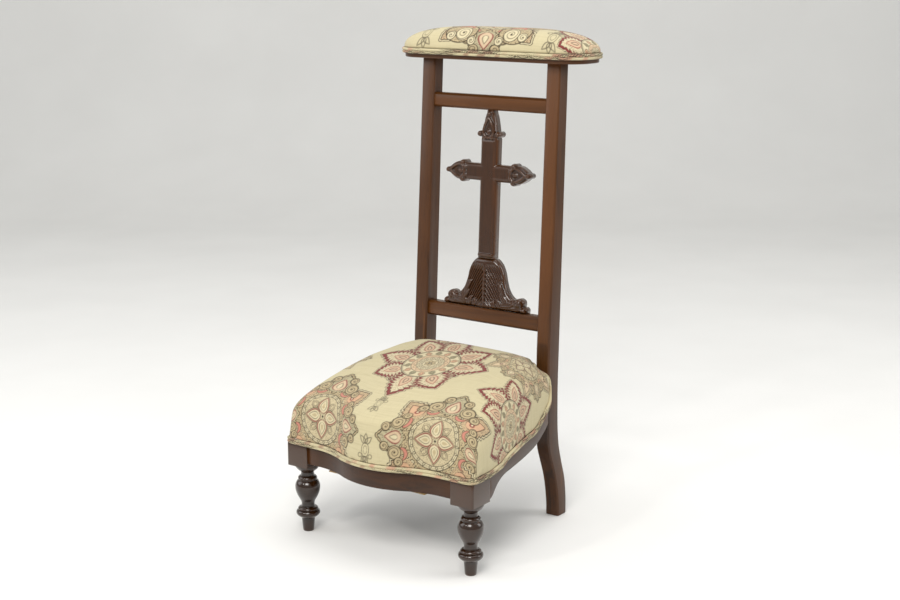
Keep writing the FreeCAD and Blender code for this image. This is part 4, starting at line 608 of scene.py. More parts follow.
def medallion(img, u, v, su=1.0, sv=1.0, rot=0.0, fade=0.0, outer=True):
    """Round lace field with four drops, ringed by scrolls and pointed leaves."""
    u, v = turn(u / su, v / sv, rot)
    r = np.hypot(u, v)
    if r.min() > 125:
        return
    pink = PINK * (1 - fade) + SAND * fade
    peach = PEACH * (1 - fade) + PALE * fade
    mauve = MAUVE * (1 - fade) + BROWN * fade
    if outer:
        # lobed ground of small curls
        lobes = 82 + 7 * np.cos(np.arctan2(v, u) * 8)
        lay(img, sm(r - lobes), SAND)
        filigree(img, u, v, sm(r - lobes), OLIVE, 8.5, 0.95)
        lay(img, line(r - lobes, 2.2), OLIVE)
        lay(img, line(r - lobes - 4.0, 1.4), BROWN)
        for k in range(16):
            p, q = turn(u, v, k * 22.5 + 11.25)
            spiral(img, p, q, 86, 0, 8.2, 70 * (1 if k % 2 else -1), 1 if k % 2 else -1, SAND, OLIVE, 1.7)
        for k in range(4):
            # pointed leaf on each diagonal with a red eye
            p, q = turn(u, v, k * 90 + 45)
            d = drop(p - 58, q, 62, 50, 0.62, 7, 0.10)
            lay(img, sm(d - 4.0), PALE)
            lay(img, line(d - 4.0, 1.5), OLIVE)
            lay(img, sm(d), SAND * 0.7 + peach * 0.3)
            filigree(img, p, q, sm(d + 1.5), OLIVE, 7.0, 0.75, 2.0)
            lay(img, line(d, 2.0), OLIVE)
            d5 = drop(p - 66, q, 40, 27, 0.62)
            lay(img, sm(d5), peach)
            lay(img, line(d5, 1.4), BROWN)
            lay(img, sm(np.hypot(p - 78, q) - 5.2), mauve)
            lay(img, sm(np.hypot(p - 78, q) - 2.2), PALE)
            # mauve crescents at its foot
            for s in (-1, 1):
                c = np.hypot(p - 64, q - s * 24) - 12
                c2 = np.hypot(p - 70, q - s * 27) - 12
                cm = np.maximum(c, -c2)
                lay(img, sm(cm), pink)
                lay(img, line(cm, 1.0), OLIVE)
            # trefoil ends with scrolls
            p, q = turn(u, v, k * 90)
            if k == 1:
                p, q = 60 + (p - 60) / 1.25, q / 1.2
            d = drop(p - 60, q, 48, 44, 0.62, 5, 0.16)
            lay(img, sm(d - 4.5), SAND)
            filigree(img, p, q, sm(d - 4.5), OLIVE, 6.5, 0.85, 1.0)
            lay(img, line(d - 4.5, 1.6), OLIVE)
            lay(img, sm(d), SAGE * 0.6 + PALE * 0.4)
            lay(img, line(d, 1.8), OLIVE)
            filigree(img, p, q, sm(d + 1.0), BROWN, 6.0, 0.7, 3.0)
            d2 = drop(p - 64, q, 30, 22, 0.62)
            lay(img, sm(d2), PALE * 0.7 + pink * 0.3)
            lay(img, line(d2, 1.8), mauve)
            d3 = drop(p - 70, q, 15, 9, 0.62)
            lay(img, sm(d3), PALE)
            lay(img, line(d3, 0.9), OLIVE)
            for s in (-1, 1):
                spiral(img, p, q, 74, s * 27, 12.0, 100 * s, s, SAND, OLIVE, 2.1)
                spiral(img, p, q, 94, s * 17, 8.0, 40 * s, -s, SAND, OLIVE, 1.6)
                spiral(img, p, q, 66, s * 43, 8.0, 10 * s, -s, SAND, OLIVE, 1.6)
    u, v, r = u / 0.9, v / 0.9, r / 0.9
    lay(img, sm(r - 56), PALE)
    lay(img, line(r - 56, 1.7), OLIVE)
    lay(img, line(r - 52, 0.9), BROWN)
    lay(img, sm(r - 48), SAND * 0.5 + PALE * 0.5)
    lace = speckle(u, v, 6.0)
    lay(img, sm(r - 48) * sm(np.abs(lace) - 0.10, 0.14) * 0.62, BROWN)
    for k in range(22):
        p, q = turn(u, v, k * 360 / 22)
        lay(img, sm(drop(p - 47.5, q, 8, 6, 0.8)), OLIVE)
        lay(img, sm(drop(p - 48.6, q, 5, 3, 0.8)), PALE)
    lay(img, line(r - 48, 1.3), OLIVE)
    for k in range(4):
        p, q = turn(u, v, k * 90)
        d = drop(p - 7, q, 36, 25, 0.66)
        lay(img, sm(d - 2.6), SAND * 0.5 + PALE * 0.5)
        lay(img, line(d - 2.6, 1.2), OLIVE)
        lay(img, sm(d), PALE)
        lay(img, line(d, 2.1), mauve)
        d2 = drop(p - 12, q, 24, 15, 0.66)
        lay(img, line(d2, 1.0), OLIVE)
        lay(img, sm(drop(p - 16, q, 13, 7, 0.66)), SAND)
        # little fans between the drops
        p, q = turn(u, v, k * 90 + 45)
        d = drop(p - 24, q, 20, 15, 0.8)
        lay(img, line(d, 1.0), OLIVE)
        lay(img, line(drop(p - 27, q, 13, 8, 0.8), 0.8), OLIVE)
    lay(img, sm(r - 4.5), PALE)
    lay(img, sm(r - 2.6), OLIVE)


def filigree(img, u, v, mask, ink, pitch=7.0, weight=0.85, seed=0.0):
    """Close-set curling lines laid over everything inside a mask."""
    wu = u + 2.2 * np.sin(v / 8.3 + seed) + 1.4 * np.sin(v / 3.9 + u / 11.0)
    wv = v + 2.2 * np.sin(u / 7.7 + 1.7 * seed) + 1.4 * np.sin(u / 4.3 - v / 9.0)
    curls = np.sin(wu * 6.283 / pitch) * np.sin(wv * 6.283 / pitch) + 0.45 * np.sin((wu + wv) * 6.283 / (pitch * 1.9))
    lay(img, mask * sm(np.abs(curls - 0.1) - 0.15, 0.10) * weight, ink)


def sprig(img, u, v, size=1.0, rot=0.0):
    """Small fleuron drawn in one dark line."""
    u, v = turn(u / size, v / size, rot)
    if np.hypot(u, v).min() > 40:
        return
    ink = OLIVE * 0.8 + CREAM * 0.2
    ring = np.hypot(u / 0.62, v - 4) - 11
    lay(img, line(ring, 1.5), ink)
    lay(img, line(np.hypot(u / 0.62, v - 4) - 6, 1.0), ink)
    for a in (60, 90, 120):
        p, q = turn(u, v - 14, a)
        lay(img, line(drop(p, q, 12, 7.5, 0.7), 1.3), ink)
    for a in (-90, -45, -135):
        p, q = turn(u, v + 6, a)
        lay(img, line(drop(p, q, 15, 7.5, 0.7), 1.3), ink)
    for s in (-1, 1):
        lay(img, line(np.hypot(u - s * 9.5, v - 13) - 3.2, 1.2), ink)


# =====================================================================
# seat
# =====================================================================
def pchip(xs, ys):
    xs, ys = np.array(xs, float), np.array(ys, float)
    d = np.diff(ys) / np.diff(xs)
    m = np.zeros_like(ys)
    m[0], m[-1] = d[0], d[-1]
    for i in range(1, len(xs) - 1):
        if d[i - 1] * d[i] > 0:
            w1 = 2 * (xs[i + 1] - xs[i]) + (xs[i] - xs[i - 1])
            w2 = (xs[i + 1] - xs[i]) + 2 * (xs[i] - xs[i - 1])
            m[i] = (w1 + w2) / (w1 / d[i - 1] + w2 / d[i])

    def f(x):
        x = np.clip(x, xs[0], xs[-1])
        i = np.clip(np.searchsorted(xs, x, "right") - 1, 0, len(xs) - 2)
        h = xs[i + 1] - xs[i]
        t = (x - xs[i]) / h
        return ((1 + 2 * t) * (1 - t) ** 2 * ys[i] + t * (1 - t) ** 2 * h * m[i]
                + t * t * (3 - 2 * t) * ys[i + 1] + t * t * (t - 1) * h * m[i + 1])
    return f


half_width = pchip([-230, -170, -140, -100, -70, -30, 10, 50, 97, 118, 126],
                   [204.5, 204.5, 203, 196.5, 191.5, 184.5, 177.5, 171.5, 166, 163, 158.5])
edge_height = pchip([-230, -90, -65, -30, 9, 50, 70, 97, 112, 118, 122, 126, 133.5],
                    [181, 183, 190, 194.5, 199, 202.5, 211, 229, 240, 252, 268, 289, 299.5])
crown = pchip([0, 0.03, 0.08, 0.16, 0.3, 0.5, 0.7, 0.86, 0.95, 1.0],
              [181.0, 250.0, 263.0, 274.0, 290.0, 305.0, 316.0, 323.0, 318.0, 300.0])
back_line = pchip([0, 112, 129, 210], [133.5, 133.5, 121.0, 121.0])
RUN, BULGE, RAIL_Y = 135.0, 32.0, -184.5
THETA = 2 * math.atan(BULGE / RUN)
RAD = RUN / (2 * math.sin(THETA))


def front_line(x):
    x = np.abs(x)
    a = RAIL_Y - RAD + np.sqrt(np.maximum(RAD ** 2 - (RUN - x) ** 2, 0))
    b = RAIL_Y - BULGE + RAD - np.sqrt(np.maximum(RAD ** 2 - x ** 2, 0))
    return np.where(x >= RUN, RAIL_Y, np.where(x >= RUN / 2, a, b))


def seat_points(a, b):
    w = half_width(-188.0 + b * 314.0)
    x = a * w
    yf = front_line(np.minimum(np.abs(x), 206)) - 4.0
    corner = np.maximum(0, np.abs(x) - 188.0)
    yf = yf + 0.022 * corner ** 2
    y = yf + b * (back_line(np.abs(x)) - yf)
    ze = edge_height(y)
    m = 8.2 - 6.0 * np.clip((b - 0.6) / 0.4, 0, 1)
    g = np.maximum(0, 1 - np.abs(a) ** m) ** (1 / 4.6)
    zc = np.where(b <= 0, ze, np.maximum(crown(b), ze))
    return np.stack([x, y, ze + (zc - ze) * g], -1)


def even(count, curve):
    fine = np.linspace(0, 1, 4001)
    P = curve(fine)
    run = np.concatenate([[0], np.cumsum(np.linalg.norm(np.diff(P, axis=0), axis=1))])
    return np.interp(np.linspace(0, run[-1], count), run, fine)


def ease(t):
    return 1 - (1 - t) ** 3


NU, NV = 231, 331
ta = even(NU, lambda t: seat_points(ease(t), np.full_like(t, 0.3)))
A1 = ease(ta)
A = np.concatenate([-A1[:0:-1], A1])
tb = even(NV, lambda t: seat_points(np.zeros_like(t), t ** 2.2))
B = tb ** 2.2
AA, BB = np.meshgrid(A, B, indexing="ij")
P = seat_points(AA, BB)

# arc lengths, as the cloth was stretched: U across, V from the front edge
du = np.linalg.norm(np.diff(P, axis=0), axis=2)
U = np.concatenate([np.zeros((1, P.shape[1])), np.cumsum(du, axis=0)])
U = U - U[len(A) // 2][None, :]
dv = np.linalg.norm(np.diff(P, axis=1), axis=2)
Vc = np.concatenate([[0], np.cumsum(dv[len(A) // 2])])
# the across run at one row, two fifths of the way back
U3 = U[:, len(B) * 2 // 5][:, None] * 1.0
V = np.broadcast_to(Vc[None, :], U.shape).copy()


def find(x, y, z):
    d = np.linalg.norm(P - np.array([x, y, z]), axis=2)
    k = np.unravel_index(np.argmin(d), d.shape)
    return U[k], V[k]


col = np.empty(P.shape)
col[:] = CREAM
cu, cv = find(136, 66, 306)
medallion(col, U - cu, V - cv, 0.66, 0.66, 0, fade=0.6)
cu, cv = find(-60, 118, 316)
sunburst(col, U - cu, V - cv, 0.34, 0.34, 0)
cu, cv = find(-176, -30, 262)
medallion(col, U - cu, V - cv, 0.62, 0.62, 0, fade=0.9)
for sx in (1, -1):
    cu, cv = find(sx * 124, -190, 232)
    medallion(col, U - cu, V - cv, 0.98, 1.0, 0)
cu, cv = find(188, -48, 236)
sunburst(col, U - cu, V - cv, 0.80, 0.84, 10)
cu, cv = find(-12, -12, 309)
sunburst(col, U - cu, V - cv, 0.92, 1.08, 22.5 * 0)
cu, cv = find(-8, -172, 270)
sprig(col, U - cu, V - cv, 1.0)
cu, cv = find(0, -219, 208)
sprig(col, U - cu, V - cv, 1.15, 180)

# pleats at the front corners and slight puckers above the welt
lift = np.zeros(U.shape)
hgt = P[..., 2] - edge_height(P[..., 1])
pucker = 0.5 * np.sin(U / 21.0 * 6.283) * np.exp(-np.maximum(hgt, 0) / 16.0)
lift += np.where(P[..., 1] < -150, pucker, pucker * 0.6)
lift += 0.8 * np.sin(V / 97.0 + 0.8) * np.sin(U / 83.0 + 0.4) * np.clip(hgt / 60, 0, 1)
tu = np.gradient(P, axis=0)
tv = np.gradient(P, axis=1)
N = np.cross(tu, tv)
N /= np.maximum(np.linalg.norm(N, axis=2, keepdims=True), 1e-9)
P2 = P + N * lift[..., None]

# the cloth turns under at the edge and closes across the bottom
P_mm = P2.copy()
P_mm[..., 1] -= SHIFT
CLOTH = weave_fabric("printed_cloth", "print")
seat = grid_object("seat_cushion", P_mm * MM, [CLOTH], uv=np.stack([U, V], -1) * MM, color=col)
bm = bmesh.new()
bm.from_mesh(seat.data)
edge = [e for e in bm.edges if e.is_boundary]
geom = bmesh.ops.extrude_edge_only(bm, edges=edge)
new = [v for v in geom["geom"] if isinstance(v, bmesh.types.BMVert)]
for v in new:
    c = Vector((0, -0.03, v.co.z))
    d = c - v.co
    d.z = 0
    d.normalize()
    v.co += d * 0.0022 + Vector((0, 0, 0.0001))
edge = [e for e in bm.edges if e.is_boundary]
bmesh.ops.contextual_create(bm, geom=edge)
bm.normal_update()
bm.to_mesh(seat.data)
bm.free()
seat.data.polygons.foreach_set("use_smooth", [True] * len(seat.data.polygons))
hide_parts("seat_cover", "seat_stuffing")
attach(seat, "root")


# ---------------------------------------------------------------- welts
def tube(path, radius, name, mat, ring=10, color=None, uv0=0.0):
    """Closed round cord along a closed path of points in mm."""
    n = len(path)
    t = np.roll(path, -1, 0) - np.roll(path, 1, 0)
    t /= np.linalg.norm(t, axis=1, keepdims=True)
    upv = np.array([0, 0, 1.0])
    side = np.cross(t, upv)
    side /= np.linalg.norm(side, axis=1, keepdims=True)
    up2 = np.cross(side, t)
    ang = np.linspace(0, 2 * np.pi, ring, endpoint=False)
    r = radius if np.ndim(radius) else np.full(n, radius)
    Q = (path[:, None, :] + r[:, None, None] * (np.cos(ang)[None, :, None] * side[:, None, :]
                                                + np.sin(ang)[None, :, None] * up2[:, None, :]))
    run = np.concatenate([[0], np.cumsum(np.linalg.norm(np.diff(path, axis=0), axis=1))])
    uu = np.broadcast_to(run[:, None], Q.shape[:2])
    vv = np.broadcast_to((ang * radius)[None, :] + uv0 if not np.ndim(radius) else ang[None, :] * 2.5 + uv0, Q.shape[:2])
    c = color(uu, vv) if color else None
    Q = Q.copy()
    Q[..., 1] -= SHIFT
    return grid_object(name, Q * MM, [mat], True, True, np.stack([uu, vv], -1) * MM, c)


def rim_path(step=1.1):
    t = np.linspace(0, 1, 400)
    right_back = seat_points(t, np.ones_like(t))
    side = seat_points(np.ones_like(t), 1 - t)
    front = seat_points(1 - t, np.zeros_like(t))
    half = np.concatenate([right_back[:-1], side[:-1], front])
    mirror = half[::-1] * np.array([-1, 1, 1])
    full = np.concatenate([half, mirror[1:-1]])
    closed = np.concatenate([full, full[:1]])
    run = np.concatenate([[0], np.cumsum(np.linalg.norm(np.diff(closed, axis=0), axis=1))])
    keep = np.concatenate([[True], np.diff(run) > 1e-6])
    closed, run = closed[keep], run[keep]
    n = int(run[-1] / step)
    s = np.linspace(0, run[-1], n, endpoint=False)
    return np.stack([np.interp(s, run, closed[:, k]) for k in range(3)], -1)


def relax(path, times=6):
    for _ in range(times):
        path = 0.5 * path + 0.25 * (np.roll(path, 1, 0) + np.roll(path, -1, 0))
    return path


def offset_path(path, out, down):
    t = np.roll(path, -1, 0) - np.roll(path, 1, 0)
    n = np.stack([t[:, 1], -t[:, 0], np.zeros(len(t))], -1)
    n /= np.maximum(np.linalg.norm(n, axis=1, keepdims=True), 1e-9)
    s = np.sign(n[:, 0] * path[:, 0] + n[:, 1] * (path[:, 1] + 20))
    n *= np.where(s == 0, 1, s)[:, None]
    p = path + n * out
    p[:, 2] -= down
    return p


def welt_color(seed, plain=()):
    """Bits of the print as they fall on a narrow cord."""
    def f(uu, vv):
        img = np.empty(uu.shape + (3,))
        img[:] = CREAM
        r1 = np.random.default_rng(seed)
        ph = r1.uniform(0, 6.28, 6)
        wx = uu + 1.6 * np.sin(vv / 2.3 + ph[0]) + 2.0 * np.sin(uu / 9.0 + ph[1])
        curls = np.sin(wx / 1.55 + 1.4 * np.sin(vv / 1.9)) * np.cos(vv / 1.6 + np.sin(uu / 4.2 + ph[2]))
        dense = 0.5 + 0.5 * np.sin(uu / 37.0 + ph[3]) + 0.35 * np.sin(uu / 13.0 + ph[4])
        warm = np.sin(uu / 61.0 + ph[5])
        for c0 in plain:
            dense = dense - 1.6 * np.exp(-((uu - c0) / 42.0) ** 2)
        dense = np.clip(dense, 0, 1)
        fill = sm(np.sin(wx / 5.6 + ph[1]) + 0.55 - dense, 0.3)
        lay(img, fill * np.clip(warm * 2.2 - 0.8, 0, 1) * 0.5, MAUVE)
        lay(img, fill * np.clip(-warm * 2.2 - 0.9, 0, 1) * 0.6, PINK)
        lay(img, sm(np.abs(curls) - 0.10 - 0.34 * dense, 0.12) * np.clip(dense * 1.6, 0, 1) * 0.92, OLIVE)
        return img
    return f


WELT_CLOTH = weave_fabric("welt_cloth", "print", pitch=0.8)
rim = relax(rim_path(), 26)
RIM_HALF = float(np.linalg.norm(np.diff(rim, axis=0), axis=1).sum() / 2)
w1 = tube(offset_path(rim, 1.9, 2.7), 2.75, "seat_welt_upper", WELT_CLOTH, 14, welt_color(11, (RIM_HALF,)))
w2 = tube(offset_path(rim, 1.9, 7.9), 2.75, "seat_welt_lower", WELT_CLOTH, 14, welt_color(12, (RIM_HALF + 20,)), uv0=9)
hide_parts("seat_welt")
for w in (w1, w2):
    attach(w, "root")
# flat backing strip between the two cords, where they are sewn together
strip = []
for o, dn in ((1.6, 1.0), (1.6, 9.6), (-0.2, 9.6), (-0.2, 1.0)):
    strip.append(offset_path(rim, o, dn))
S = np.stack(strip, 1)
S[..., 1] -= SHIFT
runs = np.concatenate([[0], np.cumsum(np.linalg.norm(np.diff(rim, axis=0), axis=1))])
suv = np.stack([np.broadcast_to(runs[:, None], S.shape[:2]), np.broadcast_to(np.array([0, 9, 11, 20.0])[None, :], S.shape[:2])], -1)
sc = np.empty(S.shape)
# the strip's colour is the cream ground darkened to 0.8: painted shade in the groove between the cords
sc[:] = CREAM * 0.8
seam = grid_object("seat_welt_seam", S * MM, [WELT_CLOTH], True, True, suv * MM, sc)
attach(seam, "root")

# =====================================================================
# armrest
# =====================================================================
ARM_A, ARM_B, ARM_R, ARM_Y = 199.0, 53.5, 46.0, 187.5
ARM_Z0, ARM_TOP = 862.6, 902.5


def stadium(n, grow=0.0, squeeze=0.0):
    """Plan outline of the armrest by equal steps, starting at the back middle."""
    a, b, r = ARM_A + grow - squeeze * 1.5, ARM_B + grow - squeeze, max(ARM_R + grow - squeeze, 4.0)
    pts = []
    for cx, cy, a0 in ((a - r, b - r, 90), (a - r, -b + r, 0), (-a + r, -b + r, -90), (-a + r, b - r, -180)):
        for t in np.linspace(0, 1, 40):
            ang = math.radians(a0 - 90 * t)
            pts.append((cx + r * math.cos(ang), cy + r * math.sin(ang)))
    pts = np.array([(0, b)] + pts + [(0, b)])
    run = np.concatenate([[0], np.cumsum(np.linalg.norm(np.diff(pts, axis=0), axis=1))])
    s = np.linspace(0, run[-1], n, endpoint=False)
    return np.stack([np.interp(s, run, pts[:, k]) for k in range(2)], -1)


NS, NR = 620, 90
edge_xy = stadium(NS, 1.8)
# crowned pad: a fine grid across, mapped onto the plan
gx = np.linspace(-1, 1, 361)
gy = np.linspace(-1, 1, 141)
wallsx = np.sign(gx) * (1 - (1 - np.abs(gx)) ** 1.35)
wallsy = np.sign(gy) * (1 - (1 - np.abs(gy)) ** 1.7)
GX, GY = np.meshgrid(wallsx, wallsy, indexing="ij")


def arm_points(gx_, gy_):
    a, b, r = ARM_A + 1.8, ARM_B + 1.8, ARM_R + 1.8
    x = gx_ * a
    over = np.maximum(np.abs(x) - (a - r), 0)
    half = b - r + np.sqrt(np.maximum(r * r - over ** 2, 0)) * 1.0
    y = gy_ * half
    # height: full in the middle, falling to the ends
    ex = 1 - np.abs(gx_) ** 3.9
    ey = 1 - np.abs(gy_) ** 3.4
    z = ARM_Z0 + 12.0 * np.maximum(ex * ey, 0) ** 0.22 + (ARM_TOP - ARM_Z0 - 12.0) * np.maximum(ex, 0) ** 0.75 * np.maximum(ey, 0) ** 0.72
    rim0 = (np.abs(gx_) >= 1) | (np.abs(gy_) >= 1)
    z = np.where(rim0, ARM_Z0, z)
    return np.stack([x, y + ARM_Y, z], -1)


PA = arm_points(GX, GY)
UA = np.concatenate([np.zeros((1, PA.shape[1])), np.cumsum(np.linalg.norm(np.diff(PA, axis=0), axis=2), axis=0)])
UA = UA - UA[len(gx) // 2][None, :]
UAc = UA[:, len(gy) // 2][:, None] * np.ones_like(UA)
VA = np.concatenate([np.zeros((PA.shape[0], 1)), np.cumsum(np.linalg.norm(np.diff(PA, axis=1), axis=2), axis=1)], 1)
VA = VA - VA[:, len(gy) // 2][:, None]
ca = np.empty(PA.shape)
ca[:] = CREAM
medallion(ca, UAc - 2, -(VA - 16), 1.15, 0.9, 0)
for sx in (-1, 1):
    panel = np.hypot((UAc - 2 - sx * 58) / 1.35, VA + 40) - 25
    lay(ca, sm(panel), SAND)
    filigree(ca, UAc, VA, sm(panel), OLIVE, 7.0, 0.9)
    lay(ca, line(panel, 1.8), OLIVE)
    spiral(ca, UAc - 2, VA, sx * 52, -44, 16.5, 100 * sx, sx, PALE, OLIVE, 2.4)
    spiral(ca, UAc - 2, VA, sx * 78, -50, 10.0, 40 * sx, -sx, PALE, OLIVE, 1.8)
    spiral(ca, UAc - 2, VA, sx * 30, -60, 9.0, 40 * sx, -sx, PALE, OLIVE, 1.8)
    c1 = np.hypot(UAc - 2 - sx * 56, VA + 24) - 15
    c2 = np.hypot(UAc - 2 - sx * 56, VA + 34) - 16
    lay(ca, sm(np.maximum(c1, -c2)), PINK)
    lay(ca, line(np.maximum(c1, -c2), 1.2), MAUVE)
sunburst(ca, UAc - 226, VA - 5, 0.8, 0.8, 0)
sprig(ca, UAc + 134, VA + 46, 1.35, 0)
sprig(ca, UAc - 140, VA + 46, 1.35, 0)
sprig(ca, UAc + 134, VA - 46, 1.2, 180)
sprig(ca, UAc - 140, VA - 46, 1.2, 180)
PA2 = PA.copy()
PA2[..., 1] -= SHIFT
arm = grid_object("armrest_cushion", PA2 * MM, [CLOTH], uv=np.stack([UAc, VA], -1) * MM, color=ca)
bm = bmesh.new()
bm.from_mesh(arm.data)
bmesh.ops.remove_doubles(bm, verts=bm.verts, dist=1e-5)
edge = [e for e in bm.edges if e.is_boundary]
bmesh.ops.contextual_create(bm, geom=edge)
bmesh.ops.recalc_face_normals(bm, faces=bm.faces)
bm.to_mesh(arm.data)
bm.free()
arm.data.polygons.foreach_set("use_smooth", [True] * len(arm.data.polygons))
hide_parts("armrest_cover", "armrest_stuffing")
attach(arm, "root")


def arm_ring(grow, z):
    xy = stadium(900, grow)
    return np.column_stack([xy[:, 0], xy[:, 1] + ARM_Y, np.full(len(xy), z)])


aw1 = tube(arm_ring(3.6, 859.6), 2.6, "armrest_welt_upper", WELT_CLOTH, 14, welt_color(21))
aw2 = tube(arm_ring(3.6, 854.6), 2.6, "armrest_welt_lower", WELT_CLOTH, 14, welt_color(22), uv0=9)
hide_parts("armrest_welt")
for w in (aw1, aw2):
    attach(w, "root")

# =====================================================================
# wood
# =====================================================================
for n in ("rear_post_left", "rear_post_right"):
    refined(n, WOOD_Z, 0.8)
for n in ("upper_crossrail", "lower_crossrail"):
    refined(n, WOOD_X, 0.7)
for n in ("front_rail", "rear_seat_rail"):
    refined(n, WOOD_RAIL, 0.7)
refined("armrest_board", WOOD_X, 0.6)
for n in ("side_rail_left", "side_rail_right"):
    refined(n, WOOD_SIDE, 0.7)
for n in ("front_leg_left", "front_leg_right"):
    refined(n, WOOD_TURNED, 0.5, 38)

RUN_K = 0.0475
SINR, COSR = RUN_K / math.hypot(1, RUN_K), 1 / math.hypot(1, RUN_K)


def raked(x, z, depth):
    """Points behind the sloping plane of the back, from heights above the floor."""
    s_ = (z - 343.0) / COSR
    return np.stack([x, 131.2 + s_ * SINR + depth * COSR - SHIFT,
                     343.0 + s_ * COSR - depth * SINR], -1) * MM


def box_distance(x, z, cx, cz, hx, hz):
    dx, dz = np.abs(x - cx) - hx, np.abs(z - cz) - hz
    return np.hypot(np.maximum(dx, 0), np.maximum(dz, 0)) + np.minimum(np.maximum(dx, dz), 0)


CW, AH, AZ = 17.4, 15.4, 639.5
TOP_SIDE = curve_points([(CW, 700.0), (14.9, 716.0), (12.4, 730.0), (9.6, 742.0), (7.0, 749.0), (6.2, 754.1)], 5)
TOP_LOBE = [(CW, 690.0)] + [tuple(p) for p in TOP_SIDE]
TOP_LOBE = TOP_LOBE + [(-x, z) for x, z in TOP_LOBE[::-1]]
END = curve_points([(47.0, 15.0), (54.0, 16.6), (62.0, 17.2), (70.0, 15.8), (79.0, 11.2), (86.5, 5.2)], 5)
END_LOBE = [(44.0, 15.0)] + [tuple(p) for p in END]
END_LOBE = END_LOBE + [(x, -z) for x, z in END_LOBE[::-1]]
TOP_LEAF = [tuple(p) for p in curve_points([(0, 700.5), (8.5, 704.0), (13.8, 714.0), (11.0, 727.0), (5.0, 738.5), (0, 743.5)], 6)]
TOP_LEAF = TOP_LEAF + [(-x, z) for x, z in TOP_LEAF[-2:0:-1]]
END_LEAF = [tuple(p) for p in curve_points([(47.0, 0), (50.5, 9.0), (59.0, 14.8), (70.0, 12.6), (80.0, 6.6), (86.0, 0)], 6)]
END_LEAF = END_LEAF + [(x, -z) for x, z in END_LEAF[-2:0:-1]]


def cross_bars(x, z):
    shaft = box_distance(x, z, 0, 590.0, CW, 112.0)
    arm_ = box_distance(x, z, 0, AZ, 50.0, AH)
    return shaft, arm_


def cross_distance(x, z):
    shaft, arm_ = cross_bars(x, z)
    ax = np.abs(x)
    d = np.minimum(shaft, arm_)
    d = np.minimum(d, polygon_distance(x, z, TOP_LOBE))
    d = np.minimum(d, polygon_distance(ax, z - AZ, END_LOBE))
    d = np.minimum(d, np.hypot(ax - 19.4, z - 710.3) - 5.6)
    d = np.minimum(d, np.hypot(ax - 56.5, np.abs(z - AZ) - 14.8) - 5.9)
    d = np.minimum(d, np.hypot(ax - 88.6, z - AZ) - 5.0)
    return np.maximum(d, 480.4 - z)


def ball(rho, r, top):
    """Height of a round boss of radius r, zero outside."""
    return top * np.sqrt(np.clip(1 - (rho / r) ** 2, 0, 1))


def ring_of(d, at, half, top):
    return top * np.sqrt(np.clip(1 - ((d + at) / half) ** 2, 0, 1))


def cross_relief(x, z, d):
    shaft, arm_ = cross_bars(x, z)
    ax, az = np.abs(x), z - AZ
    bars = np.minimum(shaft, arm_)
    plain = (z < 700) & (ax < 48.5)
    depth = np.where(plain, np.clip(4.2 + bars, 0, 4.2) * 0.9, 0.0)
    # small step inside the bevel, as a fine moulded line
    depth = np.where(plain & (bars < -4.2) & (bars > -5.2), 0.5, depth)
    # carved ends stand on a rounded ground
    near = np.clip(3.0 + d, 0, 3.0)
    ground = 1.6 + 3.0 - np.sqrt(np.maximum(9.0 - near ** 2, 0))
    depth = np.where(plain, depth, ground)
    up_ = np.zeros_like(x)
    dl = polygon_distance(x, z, TOP_LEAF)
    up_ = np.maximum(up_, ring_of(dl, 2.9, 3.0, 4.6))
    up_ = np.maximum(up_, ball(np.hypot(x, (z - 713.0) / 1.5), 4.4, 3.0))
    up_ = np.maximum(up_, ball(np.hypot(ax - 7.5, z - 704.5), 5.0, 4.6))
    up_ = np.maximum(up_, ball(np.hypot(ax - 19.4, z - 710.3), 5.6, 4.8))
    up_ = np.maximum(up_, ball(np.hypot(x, z - 747.0), 4.6, 4.4))
    up_ = np.maximum(up_, ball(np.hypot(ax - 15.2, (z - 724.0) / 2.2), 4.6, 2.2))
    de = polygon_distance(ax, az, END_LEAF)
    up_ = np.maximum(up_, ring_of(de, 2.9, 3.0, 4.6))
    up_ = np.maximum(up_, ball(np.hypot((ax - 60.0) / 1.5, az), 4.6, 3.0))
    up_ = np.maximum(up_, ball(np.hypot(ax - 51.0, np.abs(az) - 7.5), 5.0, 4.4))
    up_ = np.maximum(up_, ball(np.hypot(ax - 56.5, np.abs(az) - 14.8), 5.9, 4.8))
    up_ = np.maximum(up_, ball(np.hypot(ax - 87.5, az), 5.8, 5.0))
    up_ = np.where(plain & (up_ > 0) & (z < 697) & (ax < 44), 0, up_)
    # small collar where the shaft meets the base
    collar = ring_of(z - 486.5, 0.0, 3.2, 2.6) * np.clip((CW - ax) / 1.5, 0, 1)
    return depth - np.maximum(up_, collar)


cross_front = lambda x, z, d: raked(x, z, 4.0 + cross_relief(x, z, d))
flat_back = lambda x, z, d: raked(x, z, np.full_like(x, 24.0))
cross = plate("carved_cross", cross_distance, (-95.0, 95.0, 480.0, 754.6), 0.95, cross_front, flat_back, [WOOD_CARVED])
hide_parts("cross_upright", "cross_arm")
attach(cross, "root")

BASE_HALF = curve_points([(17.6, 480.0), (22.5, 478.0), (30.5, 470.0), (37.0, 457.5), (41.2, 441.0),
                          (45.2, 428.0), (50.5, 418.5), (58.0, 411.0), (65.0, 408.0)], 6)
FOOT = curve_points([(65.0, 408.0), (70.0, 411.6), (77.0, 412.4), (83.5, 408.5), (85.0, 402.5), (84.0, 397.5),
                     (88.5, 397.6), (92.5, 394.0), (93.0, 390.5), (92.4, 386.3)], 5)
BASE_OUT = [tuple(p) for p in BASE_HALF] + [tuple(p) for p in FOOT[1:]]
BASE_OUT = BASE_OUT + [(-x, z) for x, z in BASE_OUT[::-1]]


def base_distance(x, z):
    return polygon_distance(x, z, BASE_OUT)


